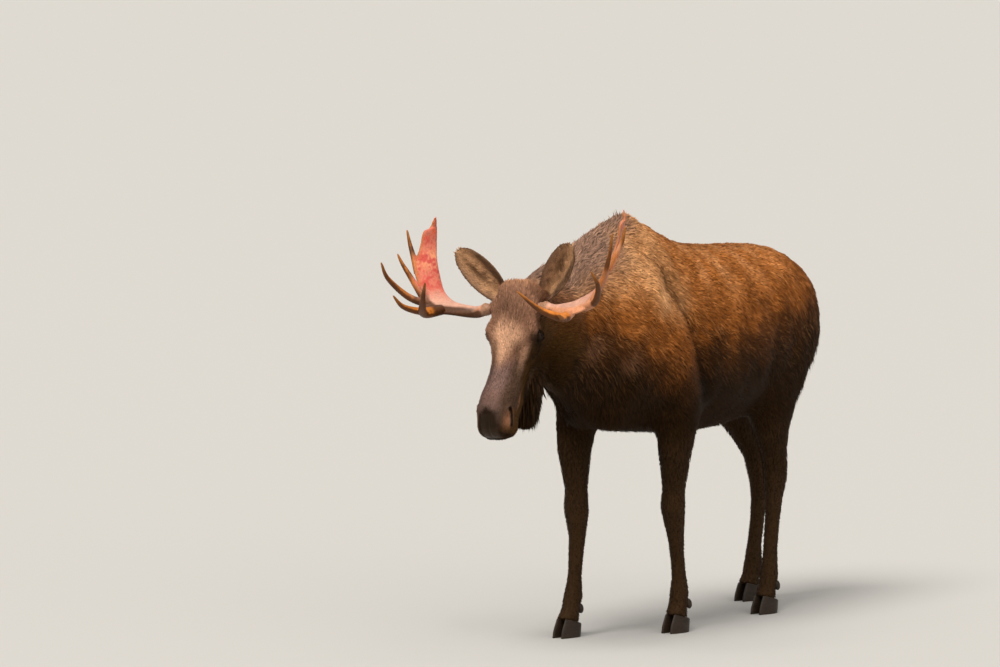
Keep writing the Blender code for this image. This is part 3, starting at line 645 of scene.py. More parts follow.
mouth = {
    "line": ((0.520, -0.040), (0.560, -0.052), (0.620, -0.064), (0.670, -0.062), (0.715, -0.045)),
    "width": 0.0045,
    "depth": 0.008,
    "rim": 0.0030,
}
lipFolds = {"apart": 0.016, "height": 0.0006}
lids = {
    "gaze": (0.04, 0.94, 0.34),  # s, a, d
    "corner": (1.0, 0.0, -0.22),  # from the back corner to the front one
    "half": 0.0175,
    "upper": 0.0098,
    "lower": 0.0082,
    "cover": 0.0016,
    "rim": 0.0016,
    "fold": (0.0014, 0.0075, 0.0022),  # depth, distance from the edge, width
    "brow": (0.0030, 0.017, 0.008),
}


def nostrilGap(h):  # distance to the slit, which is wider at its upper end
    spots = np.stack([h[:, 0], np.abs(h[:, 1]), h[:, 2]], 1)
    gap, share = nearPath(spots, nostril["line"])
    return gap + nostril["narrowing"] * share


def mouthGap(h):
    return nearPath(h[:, [0, 2]], mouth["line"])


def bodyMove(points):
    z = zones(points)
    out = np.zeros(len(points))
    flat = np.stack([z["y"], z["z"]], 1)
    for line, width, height in bodyRelief.values():
        gap, share = nearPath(flat, line)
        ends = ramp(0.0, 0.2, share) * ramp(1.0, 0.75, share)
        out += height * hill(gap, 0, width) * (0.35 + 0.65 * ends) * ramp(0.08, 0.16, z["x"])
    wave = np.sin(z["y"] * math.tau / ribs["apart"] + z["z"] * ribs["lean"])
    out += within(
        z, ribs["height"] * wave, (("y", 0.45, 0.28), ("z", 1.22, 0.16), ("x", 0.18, 0.24, 0))
    )
    out += 0.0014 * wobble(points, 0.10, 61) * (1 - z["head"]) * ramp(0.75, 0.95, z["z"])
    return out * (1 - z["head"])


def faceMove(points):
    where, h = faceParts(points)
    s, a, d = where["s"], where["a"], where["d"]
    out = np.zeros(len(points))
    for line, width, height in faceRelief.values():
        gap, _ = nearPath(np.stack([s, a], 1), line)
        out += height * hill(gap, 0, width) * ramp(0.0, 0.03, d)
    gap, width = nostrilGap(h), nostril["width"]
    out += nostril["rim"] * hill(gap, width * 1.45, width * 0.65)
    out -= nostril["depth"] * ramp(width, width * 0.25, gap)
    (gap, share), width = mouthGap(h), mouth["width"]
    opened = ramp(0.0, 0.08, share) * ramp(0.50, 0.54, s)
    out -= mouth["depth"] * ramp(width * 1.6, 0.0, gap) * opened
    out += mouth["rim"] * hill(gap, width * 2.6, width * 1.5) * opened
    for height, *parts in faceBumps.values():
        out += within(where, height, parts)
    folds = np.sin(s * math.tau / lipFolds["apart"] + 6 * d)
    out += lipFolds["height"] * (folds * hill(s, 0.60, 0.035) * hill(d, -0.02, 0.03))
    return out * headShare(points)


def eyeAxes(side):
    gaze = Vector((headTurn @ (np.array(lids["gaze"]) * (1, side, 1)))).normalized()
    corner = Vector(headTurn @ np.array(lids["corner"]))
    corner = (corner - gaze * corner.dot(gaze)).normalized()
    up = gaze.cross(corner)
    if up.dot(browAxis) < 0:
        up = -up
    return np.array(gaze), np.array(corner), np.array(up)


def eyeParts(points, side):  # across the lids, up them and outwards, from the eye's middle
    gaze, corner, up = eyeAxes(side)
    q = points - headPoint(headShape["eye"], side)
    return q @ corner, q @ up, q @ gaze


def lidGap(u, w):  # distance outside the eye's almond opening, negative inside it
    half = lids["half"]
    tall = np.where(w > 0, lids["upper"], lids["lower"])
    reach = np.clip(1 - (u / half) ** 2, 0, 1) ** 0.75 * tall
    inside = np.abs(u) < half
    return np.where(inside, np.abs(w) - reach, np.hypot(np.abs(u) - half, w))


def eyeGap(points):  # distance outside the nearer eye's opening
    best = np.full(len(points), 1.0)
    for side in (1, -1):
        u, w, height = eyeParts(points, side)
        best = np.minimum(best, np.where(height < -0.005, 1.0, lidGap(u, w)))
    return best


def shapeLids(points):
    radius = headShape["eyeRadius"]
    for side in (1, -1):
        u, w, height = eyeParts(points, side)
        near = (np.hypot(u, w) < 0.045) & (height > -0.005)
        gap = lidGap(u, w)
        depth, middle, width = lids["fold"]
        fold = depth * hill(gap, middle, width) * (w > 0)
        depth, middle, width = lids["brow"]
        brow = depth * hill(gap, middle, width) * (w > 0) * ramp(0.035, 0.02, np.abs(u))
        ball, cover = (
            np.sqrt(np.clip(r**2 - u**2 - w**2, 0, None)) for r in (radius, radius + lids["cover"])
        )
        cover += lids["rim"] * hill(gap, 0.0012, 0.0030)
        outer = np.maximum(height, cover) - fold + brow
        inner = np.minimum(height, ball - 0.0035)
        new = np.where(gap > 0, outer, between(outer, inner, ramp(0.0, -0.0022, gap)))
        move = np.where(near, new - height, 0.0)
        points = points + eyeAxes(side)[0] * move[:, None]
    return points


# the skin

skinMake = {
    "voxel": 0.0135,
    "flesh": (
        "head", "neck", "trunk", "bell", "tail", "leg_front_left", "leg_front_right",
        "leg_hind_left", "leg_hind_right",
    ),
    "smoothing": 14,
    # rounds of finer faces on the head: how far round the eyes, the nostrils and the mouth,
    # and the s past which all is fine
    "finer": ((9, 9, 9, -9), (0.05, 0.04, 0.035, 0.56), (0.026, 0.018, 0.012, 9), (0.012, 0, 0, 9)),
}
earMake = {
    "length": 0.257,
    "root": 0.035,  # hidden in the head
    "kept": 0.955,  # share of the length that is skin, the rest is hair
    "wall": 0.005,
    "base": {1: (0.066, 0.110, -0.022), -1: (0.082, 0.114, -0.022)},
    "axis": (0.627, 0.240, 0.740),
    "opening": (-0.100, 1.000, 0.000),
    "sections": (  # share of the length, half width, depth of the cup
        (0.00, 0.028, 0.036), (0.12, 0.040, 0.044), (0.28, 0.053, 0.044), (0.45, 0.060, 0.038),
        (0.62, 0.059, 0.028), (0.78, 0.051, 0.018), (0.92, 0.036, 0.009), (1.00, 0.014, 0.002),
    ),
    "across": 14,
    "along": 26,
}
earSpan = earMake["kept"] * (earMake["length"] + earMake["root"])


def earFrame(side):
    turn = outFrame(side)
    axis = (turn @ Vector(earMake["axis"])).normalized()
    opening = turn @ Vector(earMake["opening"])
    opening = (opening - axis * opening.dot(axis)).normalized()
    base = Vector(headPoint(earMake["base"][side], side)) - earMake["root"] * axis
    return base, axis, axis.cross(opening), opening


def earShell(bm, side):
    base, axis, across, opening = earFrame(side)
    before = set(bm.verts)
    bmesh.ops.create_grid(
        bm, x_segments=earMake["across"], y_segments=earMake["along"], size=1.0
    )
    leaf = [v for v in bm.verts if v not in before]
    for vert in leaf:
        x, share = vert.co.x, (vert.co.y + 1) / 2
        _, width, cup = ease(earMake["sections"], share)[0]
        rim = 0.0035 * abs(x) ** 6  # the edge rolls in a little
        ridge = 0.0018 * math.cos(x * 9.0) * math.sin(math.pi * share)
        vert.co = (
            base
            + axis * (share * earMake["kept"] * (earMake["length"] + earMake["root"]))
            + across * (width * x * 1.02)
            + opening * (-0.92 * cup * (1 - x * x) + rim + ridge)
        )
    faces = list(dict.fromkeys(f for v in leaf for f in v.link_faces))  # each once, in order
    bmesh.ops.recalc_face_normals(bm, faces=faces)
    if sum(f.normal.dot(opening) for f in faces) < 0:
        bmesh.ops.reverse_faces(bm, faces=faces)
    bmesh.ops.solidify(bm, geom=faces, thickness=earMake["wall"])


def refine(mesh, wanted):  # cuts the faces round the wanted vertices into four
    bm = bmesh.new()
    bm.from_mesh(mesh)
    bm.verts.ensure_lookup_table()
    chosen = [e for e in bm.edges if all(wanted[v.index] for v in e.verts)]
    bmesh.ops.subdivide_edges(bm, edges=chosen, cuts=1, use_grid_fill=True)
    bm.to_mesh(mesh)
    bm.free()
    mesh.update()


def makeSkin():
    bm = bmesh.new()
    for name in (*skinMake["flesh"], "eye_left", "eye_right"):
        bm.from_mesh(nodes[name].data)
    bmesh.ops.remove_doubles(bm, verts=bm.verts, dist=1e-5)
    skin = remeshed(toObject("skin", bm), skinMake["voxel"])
    mesh = skin.data

    points = readPoints(mesh)
    z = zones(points)
    soft = 1.0 - 0.55 * np.maximum(z["head"], z["cannon"])
    points = relax(points, readEdges(mesh), skinMake["smoothing"], soft)
    writePoints(mesh, points)
    points = points - readPoints(mesh, "normal") * coatSize(points, 1)[:, None]
    points = relax(points, readEdges(mesh), 4, soft)
    writePoints(mesh, points)

    for roundEye, roundNostril, roundMouth, front in skinMake["finer"]:
        points = readPoints(mesh)
        h = toHead(points)
        near = (eyeGap(points) < roundEye) | (nostrilGap(h) < roundNostril) | (h[:, 0] > front)
        near |= (mouthGap(h)[0] < roundMouth) & (h[:, 0] > 0.50)
        refine(mesh, near & (headShare(points) > 0.5))
        points = readPoints(mesh)
        points = relax(points, readEdges(mesh), 3, headShare(points))
        writePoints(mesh, points)

    normals = readPoints(mesh, "normal")
    move = bodyMove(points) + faceMove(points)
    writePoints(mesh, shapeLids(points + normals * move[:, None]))
    print("skin triangles", len(triangles(mesh)))

    bm = bmesh.new()
    for side in (1, -1):
        earShell(bm, side)
    return skin, toObject("ears", bm)


skin, ears = makeSkin()
print("skin shaped")

# eyes

eyeMake = {
    "around": 48,
    "rings": 40,
    "cornea": 0.0012,
    "iris": 0.0125,
    "pupil": (0.0062, 0.0030),
    "colours": (paint(14, 10, 8), paint(36, 21, 11), paint(4, 3, 3)),
}


def makeEye(name, side):
    gaze, corner, up = eyeAxes(side)
    bm = bmesh.new()
    bmesh.ops.create_uvsphere(
        bm, u_segments=eyeMake["around"], v_segments=eyeMake["rings"],
        radius=headShape["eyeRadius"],
    )
    eye = toObject(name, bm)
    points = readPoints(eye.data)
    x, y = points[:, 0], points[:, 1]
    out = np.hypot(x, y)
    front = points[:, 2] > 0
    points[:, 2] += np.where(front, eyeMake["cornea"] * ramp(0.0135, 0.004, out), 0.0)
    ball, iris, pupil = eyeMake["colours"]
    wide, tall = eyeMake["pupil"]
    inPupil = ramp(1.15, 0.9, np.hypot(x / wide, y / tall))
    inIris = ramp(eyeMake["iris"] + 0.0006, eyeMake["iris"] - 0.0006, out)
    streak = 1 + 0.25 * np.sin(np.arctan2(y, x) * 31)
    setTint(eye.data, layered(ball, (
        (iris * streak[:, None], inIris * front),
        (pupil, inPupil * front),
    )))
    turn = np.stack([corner, up, gaze], 1)
    if np.linalg.det(turn) < 0:
        turn[:, 0] = -turn[:, 0]
    writePoints(eye.data, points @ turn.T + headPoint(headShape["eye"], side))
    smoothShade(eye.data)
    return eye


eyes = {"left": makeEye("eyeLeft", 1), "right": makeEye("eyeRight", -1)}
print("eyes made")

# antlers

antlerMake = {
    # from the burr, outwards, forwards, up: inner rail, outer rail, half thickness
    "sheet": (
        ((-0.030, -0.003, 0.018), (-0.030, 0.003, -0.020), 0.021),
        ((-0.004, -0.003, 0.019), (-0.004, 0.003, -0.022), 0.022),
        ((0.000, -0.004, 0.021), (0.000, 0.004, -0.025), 0.024),
        ((0.010, -0.004, 0.021), (0.010, 0.004, -0.025), 0.024),
        ((0.017, -0.003, 0.022), (0.017, 0.004, -0.027), 0.024),
        ((0.063, -0.004, 0.010), (0.054, 0.015, -0.036), 0.021),
        ((0.139, -0.005, 0.018), (0.124, 0.072, -0.032), 0.018),
        ((0.185, -0.010, 0.038), (0.195, 0.127, -0.023), 0.016),
        ((0.228, -0.022, 0.071), (0.264, 0.113, 0.010), 0.013),
        ((0.258, -0.043, 0.117), (0.299, 0.076, 0.086), 0.011),
        ((0.285, -0.065, 0.195), (0.334, 0.047, 0.177), 0.009),
        ((0.305, -0.099, 0.262), (0.338, -0.012, 0.257), 0.008),
        ((0.315, -0.121, 0.322), (0.336, -0.044, 0.325), 0.0075),
        ((0.317, -0.124, 0.358), (0.330, -0.088, 0.340), 0.006),
        ((0.314, -0.118, 0.384), (0.318, -0.108, 0.382), 0.003),
    ),
    # corners, first and last radius, how far the left one (1) and the right one end above
    "tines": {
        "browInner": (
            ((0.175, 0.091, -0.016), (0.196, 0.195, -0.026), (0.144, 0.290, 0.020), (0.085, 0.364, 0.105)),
            (0.023, 0.0038),
            {1: -0.013, -1: 0.014},
        ),
        "browOuter": (
            ((0.185, 0.101, -0.014), (0.200, 0.195, -0.021), (0.244, 0.289, -0.003), (0.257, 0.352, 0.039)),
            (0.020, 0.0038),
            {1: -0.045, -1: 0.022},
        ),
        "palmLow": (
            ((0.236, 0.090, 0.004), (0.312, 0.140, 0.036), (0.364, 0.208, 0.107), (0.364, 0.260, 0.173)),
            (0.017, 0.0038),
            {1: -0.012, -1: 0.030},
        ),
        "palmMiddle": (
            ((0.272, 0.090, 0.034), (0.322, 0.084, 0.118), (0.357, 0.092, 0.196), (0.378, 0.099, 0.265)),
            (0.014, 0.0038),
            {1: 0.038, -1: -0.024},
        ),
        "palmHigh": (
            ((0.322, 0.040, 0.150), (0.350, 0.018, 0.214), (0.373, 0.006, 0.270), (0.386, 0.004, 0.327)),
            (0.014, 0.0038),
            {1: -0.006, -1: 0.012},
        ),
    },
    "rows": 85,
    "around": 28,
    "tineRows": 26,
    "taper": 1.5,  # above 1 a tine stays thick for longer
    "lift": 1.5,  # above 1 it turns up or down late
    # how the two differ: lift of the front, lift of the top, spread of the palm
    "bent": {1: (0.0, 0.008, 0.012), -1: (0.020, -0.009, -0.009)},
    "voxel": 0.0027,
    "palm": paint(206, 114, 94),
    "palmTop": paint(206, 96, 62),
    "stain": paint(172, 56, 52),
    "flame": paint(240, 166, 116),
    "beam": paint(194, 148, 128),
    "tine": paint(196, 116, 44),
    "tip": paint(150, 92, 34),
    "under": paint(78, 42, 14),
    "burr": paint(146, 108, 84),
}
tubeTurns = np.linspace(0, math.tau, antlerMake["around"], endpoint=False)


def antlerFrame(side):
    spot = Matrix.Translation(headPoint(headShape["burr"][side], side))
    return spot @ outFrame(side).to_4x4()


def bent(points, side):  # the antler's plan, moved to where that side's antler has it
    front, top, spread = antlerMake["bent"][side]
    out, ahead, up = np.array(points, float).T
    lift = front * ramp(0.02, 0.10, ahead) * ramp(0.30, 0.05, up) + top * ramp(0.10, 0.38, up)
    return np.stack([out + spread * ramp(0.17, 0.26, out), ahead, up + lift], 1)


def sheetRings(spot, inner, outer):  # the beam and the palm in one
    thick = [row[2] for row in antlerMake["sheet"]]
    table = np.column_stack([np.arange(len(thick)), inner, outer, thick])
    rows = ease(table, np.linspace(0, len(table) - 1, antlerMake["rows"]))
    first, second = rows[:, 1:4], rows[:, 4:7]
    middles, across = (first + second) / 2, (first - second) / 2
    through = unit(np.cross(np.gradient(middles, axis=0), across)) * rows[:, 7:8]
    for middle, wide, deep in zip(middles, across, through):
        shape = middle + np.outer(np.cos(tubeTurns), wide) + np.outer(np.sin(tubeTurns), deep)
        yield [spot @ Vector(p) for p in shape]


def tineRings(spot, side, corners, radii, lift):
    table = [(i, *c) for i, c in enumerate(corners)]
    steps = np.linspace(0, 1, antlerMake["tineRows"])
    curve = bent(ease(table, steps * (len(table) - 1))[:, 1:], side)
    path = [spot @ Vector(c) for c in curve]
    steps = steps.tolist()
    for point, k in zip(path, steps):
        point.z += lift[side] * k ** antlerMake["lift"]
    first, last = radii
    beside = None
    for i, (point, k) in enumerate(zip(path, steps)):
        way = (path[min(i + 1, len(path) - 1)] - path[max(i - 1, 0)]).normalized()
        beside = way.orthogonal() if beside is None else beside
        beside = (beside - way * beside.dot(way)).normalized()
        other = way.cross(beside)
        radius = first + (last - first) * k ** antlerMake["taper"]
        radius *= 1.0 if k < 0.97 else 0.55
        yield [
            point + radius * (math.cos(t) * beside + math.sin(t) * other)
            for t in tubeTurns[::2].tolist()
        ]


def paintAntler(mesh, side, local, normals, parts):
    a = antlerMake
    ahead, up = local[:, 1], local[:, 2]
    own, world = normals  # in the antler's frame and in the world's
    palm, tine = parts["palm"], parts["tine"]
    blotch = wobble(local, 0.06, 41) * 0.6 + wobble(local, 0.02, 42) * 0.4
    red = palm if side < 0 else 0.3 * palm  # the left palm is browner, like its tines
    # along the beam's lower rail: on the right antler a darker brown, painted shade of the beam's
    # underside; on the left a middle tone of tine and beam
    low = a["under"] * 0.7 if side < 0 else 0.5 * (a["tine"] + a["beam"])
    rim = ramp(0.40, 0.75, np.abs(own[:, 1])) * ramp(0.0, 0.05, up)
    tineTone = 0.62 + 0.38 * ramp(0.135, 0.19, ahead) * ramp(0.03, 0.0, up)
    tip = np.zeros(len(up))
    for corners, _, lift in a["tines"].values():
        end = bent(corners[-1:], side)[0] + (0, 0, lift[side])
        away = np.linalg.norm((local - end) * (1, 1, 0.7), axis=1)
        tip = np.maximum(tip, ramp(0.06, 0.01, away))
    # darker brown on surfaces that face down: partly the antler's own brown, partly painted shade
    under = ramp(0.40, 0.0, world[:, 2] + 0.12 * blotch) * (1 - 0.8 * palm)
    colour = layered(a["beam"], (
        (a["tine"] * 0.85, 0.8 * (palm - red)),
        (a["palm"], red),
        (a["stain"], red * ramp(-0.5, 1.0, blotch) * 0.8),
        (a["flame"], palm * hill(up, 0.205, 0.035) * ramp(0.3, -0.9, blotch) * 0.7),
        (a["tine"], 0.55 * hill(world[:, 2], 0.42, 0.13) * (1 - palm)),
        (a["palmTop"], red * ramp(0.27, 0.34, up) * ramp(-0.6, 0.5, blotch)),
        (a["tine"] * 0.68, 0.85 * rim),
        (a["tine"] * tineTone[:, None], tine),
        (a["under"], under * 0.92),
        (low, 0.95 * parts["edge"]),
        (a["burr"], parts["burr"]),
        (a["tip"], 0.8 * tip),
        (0.0, 0.25 * ramp(0.25, 0.0, parts["veins"]) * (1 - tine)),  # only darker
    ))
    setTint(mesh, colour * (1 + 0.12 * blotch)[:, None])


def makeAntler(name, side):
    spot = antlerFrame(side)
    sheet = antlerMake["sheet"]
    inner, outer = (bent([row[k] for row in sheet], side) for k in (0, 1))
    bm = bmesh.new()
    drawOut(bm, list(sheetRings(spot, inner, outer)))
    for tine in antlerMake["tines"].values():
        drawOut(bm, list(tineRings(spot, side, *tine)))
    bmesh.ops.recalc_face_normals(bm, faces=bm.faces)
    antler = remeshed(toObject(name, bm), antlerMake["voxel"])
    mesh = antler.data
    points = relax(readPoints(mesh), readEdges(mesh), 3)
    writePoints(mesh, points)

    normals = readPoints(mesh, "normal")
    back = np.array(spot.inverted().to_3x3()).T
    local = (points - np.array(spot.translation)) @ back
    out, ahead, up = local.T
    tine = ramp(0.105, 0.160, ahead)
    late = np.outer(np.linspace(0, 1, 4) ** antlerMake["lift"], (0, 0, 1))
    for kind in ("palmLow", "palmMiddle", "palmHigh"):
        corners, _, lift = antlerMake["tines"][kind]
        gap, share = nearPath(local, bent(corners, side) + late * lift[side])
        tine = np.maximum(tine, ramp(0.030, 0.018, gap) * ramp(0.25, 0.55, share))
    palm = ramp(0.02, 0.12, up) * (1 - tine)
    burr = ramp(0.026, 0.014, np.abs(out - 0.006))
    grain = local * (2.5, 2.5, 0.8)
    veins = np.abs(wobble(grain, 0.035, 31 + side))
    move = -0.0011 * ramp(0.28, 0.0, veins) * (1 - burr) * (1 - 0.6 * tine)
    move += 0.0018 * np.abs(wobble(local, 0.013, 8)) * burr
    move += 0.0016 * wobble(local, 0.020, 9) * ramp(0.31, 0.36, up) * (1 - tine)
    writePoints(mesh, points + normals * move[:, None])
    parts = {"tine": tine, "palm": palm, "burr": burr, "veins": veins}
    # the beam's lower rail, where the right antler takes painted shade
    parts["edge"] = ramp(0.046, 0.028, nearPath(local, outer)[0]) * (1 - palm) * ramp(0.01, 0.08, out)
    paintAntler(mesh, side, local, (normals @ back, normals), parts)
    setPoints(mesh, "grain", "FLOAT_VECTOR", "vector", grain)
    smoothShade(mesh)
    return antler


antlers = {"left": makeAntler("antlerLeft", 1), "right": makeAntler("antlerRight", -1)}
print("antlers made", [len(o.data.polygons) for o in antlers.values()])

# hooves

hoofMake = {
    "toe": 0.086,
    "heel": 0.044,
    "half": 0.0235,
    "apart": 0.0272,
    "coronet": 0.064,
    "slope": 0.28,
    "rings": (0.0, 0.03, 0.10, 0.25, 0.40, 0.55, 0.70, 0.85, 0.95, 1.0, 1.06),
    "around": 36,
    "dewclaw": (0.030, 0.050, 0.118),
    "dewclawHalf": (0.013, 0.016, 0.024),
    "dewclawLean": 24,
    "feet": {  # across, y of each foot, in the body's own frame
        "front_left": (0.150, 0.190),
        "front_right": (-0.155, -0.190),
        "hind_left": (0.145, 0.935),
        "hind_right": (-0.145, 1.280),
    },
}


def clawRings(foot, side):
    m = hoofMake
    x0, y0 = foot
    for lift in m["rings"]:
        shrink = float(np.interp(lift, (0, 0.03, 0.3, 1.0), (0.96, 1.0, 0.99, 0.80)))
        shrink *= 0.88 if lift > 1.0 else 1.0
        back = float(np.interp(lift, (0.0, 0.3, 1.0), (0.0, 0.004, 0.016)))
        ring = []
        for k in range(m["around"]):
            turn = math.tau * k / m["around"]
            ahead = -math.sin(turn)
            reach = m["toe"] if ahead > 0 else m["heel"]
            narrow = 1 - 0.45 * max(0.0, ahead) ** 1.5
            ripple = 1 + 0.008 * math.sin(lift * 46 + 2 * ahead) * (0.15 < lift < 0.9)
            x = m["half"] * math.cos(turn) * narrow * (0.4 + 0.6 * shrink) * ripple
            x -= side * 0.006 * max(0.0, ahead)
            y = y0 - reach * ahead * shrink * ripple + back
            z = lift * (m["coronet"] - m["slope"] * (y - y0) - 0.0004)
            spot = Vector((x0 + side * m["apart"] + x, y, z)) + Vector(frameShift)
            spot.z = max(spot.z, 0.0)
            ring.append(spot)
        yield ring


def makeHooves():
    claws, spurs = bmesh.new(), bmesh.new()
    x, y, z = hoofMake["dewclaw"]
    lean = Matrix.Rotation(math.radians(hoofMake["dewclawLean"]), 4, "X")
    size = Matrix.Diagonal((*hoofMake["dewclawHalf"], 1.0))
    for foot in hoofMake["feet"].values():
        for side in (1, -1):
            drawOut(claws, list(clawRings(foot, side)))
            middle = Vector((foot[0] + side * x, foot[1] + y, z)) + Vector(frameShift)
            bmesh.ops.create_icosphere(
                spurs, subdivisions=3, radius=1.0,
                matrix=Matrix.Translation(middle) @ lean @ size,
            )
    bmesh.ops.recalc_face_normals(claws, faces=claws.faces)
    made = toObject("hooves", claws), toObject("dewclaws", spurs)
    for obj in made:
        smoothShade(obj.data)
    return made


hooves, dewclaws = makeHooves()
print("hooves made")

# finishes


class Finish:  # a material and short ways to wire it
    def __init__(self, name, roughness, shine, shineTint=(1.0, 1.0, 1.0, 1.0)):
        self.material = bpy.data.materials.new(name)
        self.material.use_nodes = True
        self.tree = self.material.node_tree
        self.surface({
            "Roughness": roughness,
            "Specular IOR Level": shine,
            "Specular Tint": shineTint,
        })

    def fill(self, made, inputs):
        for key, value in inputs.items():
            if isinstance(value, bpy.types.NodeSocket):
                self.tree.links.new(value, made.inputs[key])
            else:
                made.inputs[key].default_value = value

    def surface(self, inputs):
        self.fill(self.tree.nodes["Principled BSDF"], inputs)

    def node(self, kind, inputs=None, **settings):
        made = self.tree.nodes.new(kind)
        for key, value in settings.items():
            setattr(made, key, value)
        self.fill(made, inputs or {})
        return made

    def attribute(self, name, output):
        return self.node("ShaderNodeAttribute", attribute_name=name).outputs[output]

    def noise(self, place, size, detail, roughness=0.5):
        inputs = {"Vector": place, "Scale": size, "Detail": detail, "Roughness": roughness}
        return self.node("ShaderNodeTexNoise", inputs).outputs["Fac"]

    def span(self, value, low, high):
        inputs = {"Value": value, "To Min": low, "To Max": high}
        return self.node("ShaderNodeMapRange", inputs).outputs["Result"]

    def shaded(self, colour, amount):  # colour times a grey
        inputs = {0: colour, "Scale": amount}
        return self.node("ShaderNodeVectorMath", inputs, operation="SCALE").outputs["Vector"]

    def bump(self, height, strength, distance):
        inputs = {"Strength": strength, "Distance": distance, "Height": height}
        self.surface({"Normal": self.node("ShaderNodeBump", inputs).outputs["Normal"]})


def skinFinish():
    f = Finish("skin", 0.7, 0.2, (1.0, 0.72, 0.5, 1.0))
    streak = f.noise(f.attribute("comb", "Vector"), 5.0, 4.0, 0.6)
    f.surface({
        "Base Color": f.shaded(f.attribute("tint", "Color"), f.span(streak, 0.55, 1.45)),
        "Roughness": f.span(f.attribute("bare", "Fac"), 0.75, 0.42),
    })
    f.bump(streak, 0.7, 0.003)
    return f.material


def tintFinish(*fixed):
    f = Finish(*fixed)
    f.surface({"Base Color": f.attribute("tint", "Color")})
    return f.material


def antlerFinish():
    f = Finish("bareAntler", 0.45, 0.22)
    fine = f.noise(f.attribute("grain", "Vector"), 90.0, 5.0, 0.65)
    f.surface({
        "Base Color": f.shaded(f.attribute("tint", "Color"), f.span(fine, 0.72, 1.28)),
        "Roughness": f.span(fine, 0.34, 0.58),
    })
    f.bump(fine, 0.35, 0.0012)
    return f.material


def hornFinish():
    f = Finish("darkHorn", 0.42, 0.25)
    spot = f.node("ShaderNodeTexCoord").outputs["Object"]
    bands = f.node("ShaderNodeMapping", {"Vector": spot, "Scale": (20.0, 20.0, 240.0)})
    rings = f.noise(bands.outputs["Vector"], 1.0, 3.0)
    dirt = f.noise(spot, 60.0, 5.0)
    tones = {"Factor": rings, "A": (*paint(24, 19, 15), 1), "B": (*paint(58, 44, 33), 1)}
    mixed = f.node("ShaderNodeMix", tones, data_type="RGBA")
    f.surface({"Base Color": f.shaded(mixed.outputs["Result"], f.span(dirt, 0.6, 1.4))})
    f.bump(rings, 0.4, 0.001)
    return f.material


finishes = {
    "skin": skinFinish(),
    "hair": tintFinish("hair", 0.62, 0.09, (1.0, 0.62, 0.36, 1.0)),
    "eye": tintFinish("wetEye", 0.10, 0.15),
    "antler": antlerFinish(),
    "horn": hornFinish(),
}

# the skin's and the ears' markings


def combed(points):  # a place on the surface, short along the lie and long across it
    z = zones(points)
    p = points - frameShift
    along = np.array((0.0, 0.88, -0.47))
    across = np.array((0.0, 0.47, 0.88))
    return layered(np.stack([p @ along * 8.0, p @ across * 60.0, p[:, 0] * 60.0], 1), (
        (p * (60.0, 60.0, 9.0), z["leg"] > 0.5),
        (toHead(points) * (10.0, 75.0, 75.0), z["head"] > 0.5),
    ))


def earPaint(points, side):  # share of the length, and place across from -1 to 1
    base, axis, across, _ = (np.array(v) for v in earFrame(side))
    q = points - base
    share = q @ axis / earSpan
    sections = np.array(earMake["sections"])
    width = np.interp(share, sections[:, 0], sections[:, 1])
    return share, q @ across / np.maximum(width, 0.008)


def earColour(points, normals, side):
    across, opening = (np.array(v) for v in earFrame(side)[2:])
    share, x = earPaint(points, side)
    x = x * np.sign(across @ leftWay)  # above 0 towards its left
    inner = ramp(-0.1, 0.3, normals @ opening)
    mottle = wobble(points, 0.03, 77)
    # painted shade: darker in the hollow of the ear's cup
    hollow = hill(x + 0.10 * mottle, -0.24, 0.30) * hill(share, 0.58, 0.30)
    dark = ramp(0.10, 0.34, x + 0.05 * mottle - 0.52 * share) * ramp(0.92, 0.7, share)
    c = hairColours
    colour = layered(c["earBack"], (
        (c["earInside"], inner),
        (c["earRim"], inner * ramp(-0.55, -0.75, x + 0.06 * mottle)),
        (c["earDeep"] * 0.85, 0.95 * inner * hollow),
        (c["earBack"], 0.9 * inner * dark),
        (c["earBack"], inner * ramp(0.88, 0.98, np.abs(x))),
    ))
    return colour * (1 + 0.12 * mottle)[:, None]


def finishSkin():
    mesh = skin.data
    points = readPoints(mesh)
    where, h = faceParts(points)
    head = headShare(points)
    bare = within(where, head, (("s", 0.615, 0.64, 0), ("a", 0.045, 0.03, 0), ("d", -0.04, -0.01, 0)))
    # inside the nostril slits a painted shade; round the eyes the lids' dark rims
    slit = head * ramp(0.0135, 0.0075, nostrilGap(h))
    lid = head * ramp(0.0035, 0.001, eyeGap(points))
    dark = np.maximum(slit, lid)
    tint = blend(coatColour(points), hairColours["nose"] * 0.5, dark)

    leaf = ears.data
    spots, normals = readPoints(leaf), readPoints(leaf, "normal")
    earTint = np.zeros(spots.shape)
    left = (spots - headOrigin) @ leftWay > 0
    for side, mask in ((1, left), (-1, ~left)):
        earTint[mask] = earColour(spots[mask], normals[mask], side)
    for data, colour, comb, bareness in (
        (mesh, tint, combed(points), np.maximum(bare, dark)),
        (leaf, earTint, toHead(spots) * (12.0, 60.0, 60.0), np.zeros(len(spots))),
    ):
        setTint(data, colour)
        setPoints(data, "comb", "FLOAT_VECTOR", "vector", comb)
        setPoints(data, "bare", "FLOAT", "value", np.clip(bareness, 0, 1))
        smoothShade(data)


finishSkin()
print("markings painted")

# the coat: tufts

tuftMake = {
    # tufts per square metre, width, share of the length left to chance, cuts along it, and
    # how much of the skin's shading a tuft takes on
    "body": {"thick": 23600, "width": 0.0032, "chance": 0.25, "cuts": (0.42,), "soft": 0.86},
    "face": {"thick": 52000, "width": 0.0026, "chance": 0.25, "cuts": (0.5,), "soft": 0.82},
    "legs": {"thick": 17000, "width": 0.0030, "chance": 0.20, "cuts": (0.5,), "soft": 0.7},
    "tail": {"thick": 22000, "width": 0.0060, "chance": 0.30, "cuts": (0.36, 0.70), "soft": 0.5},
    "ears": {"thick": 42000, "width": 0.0028, "chance": 0.22, "cuts": (0.5,), "soft": 0.7},
}
tuftPatch = 0.003  # of the unwrap


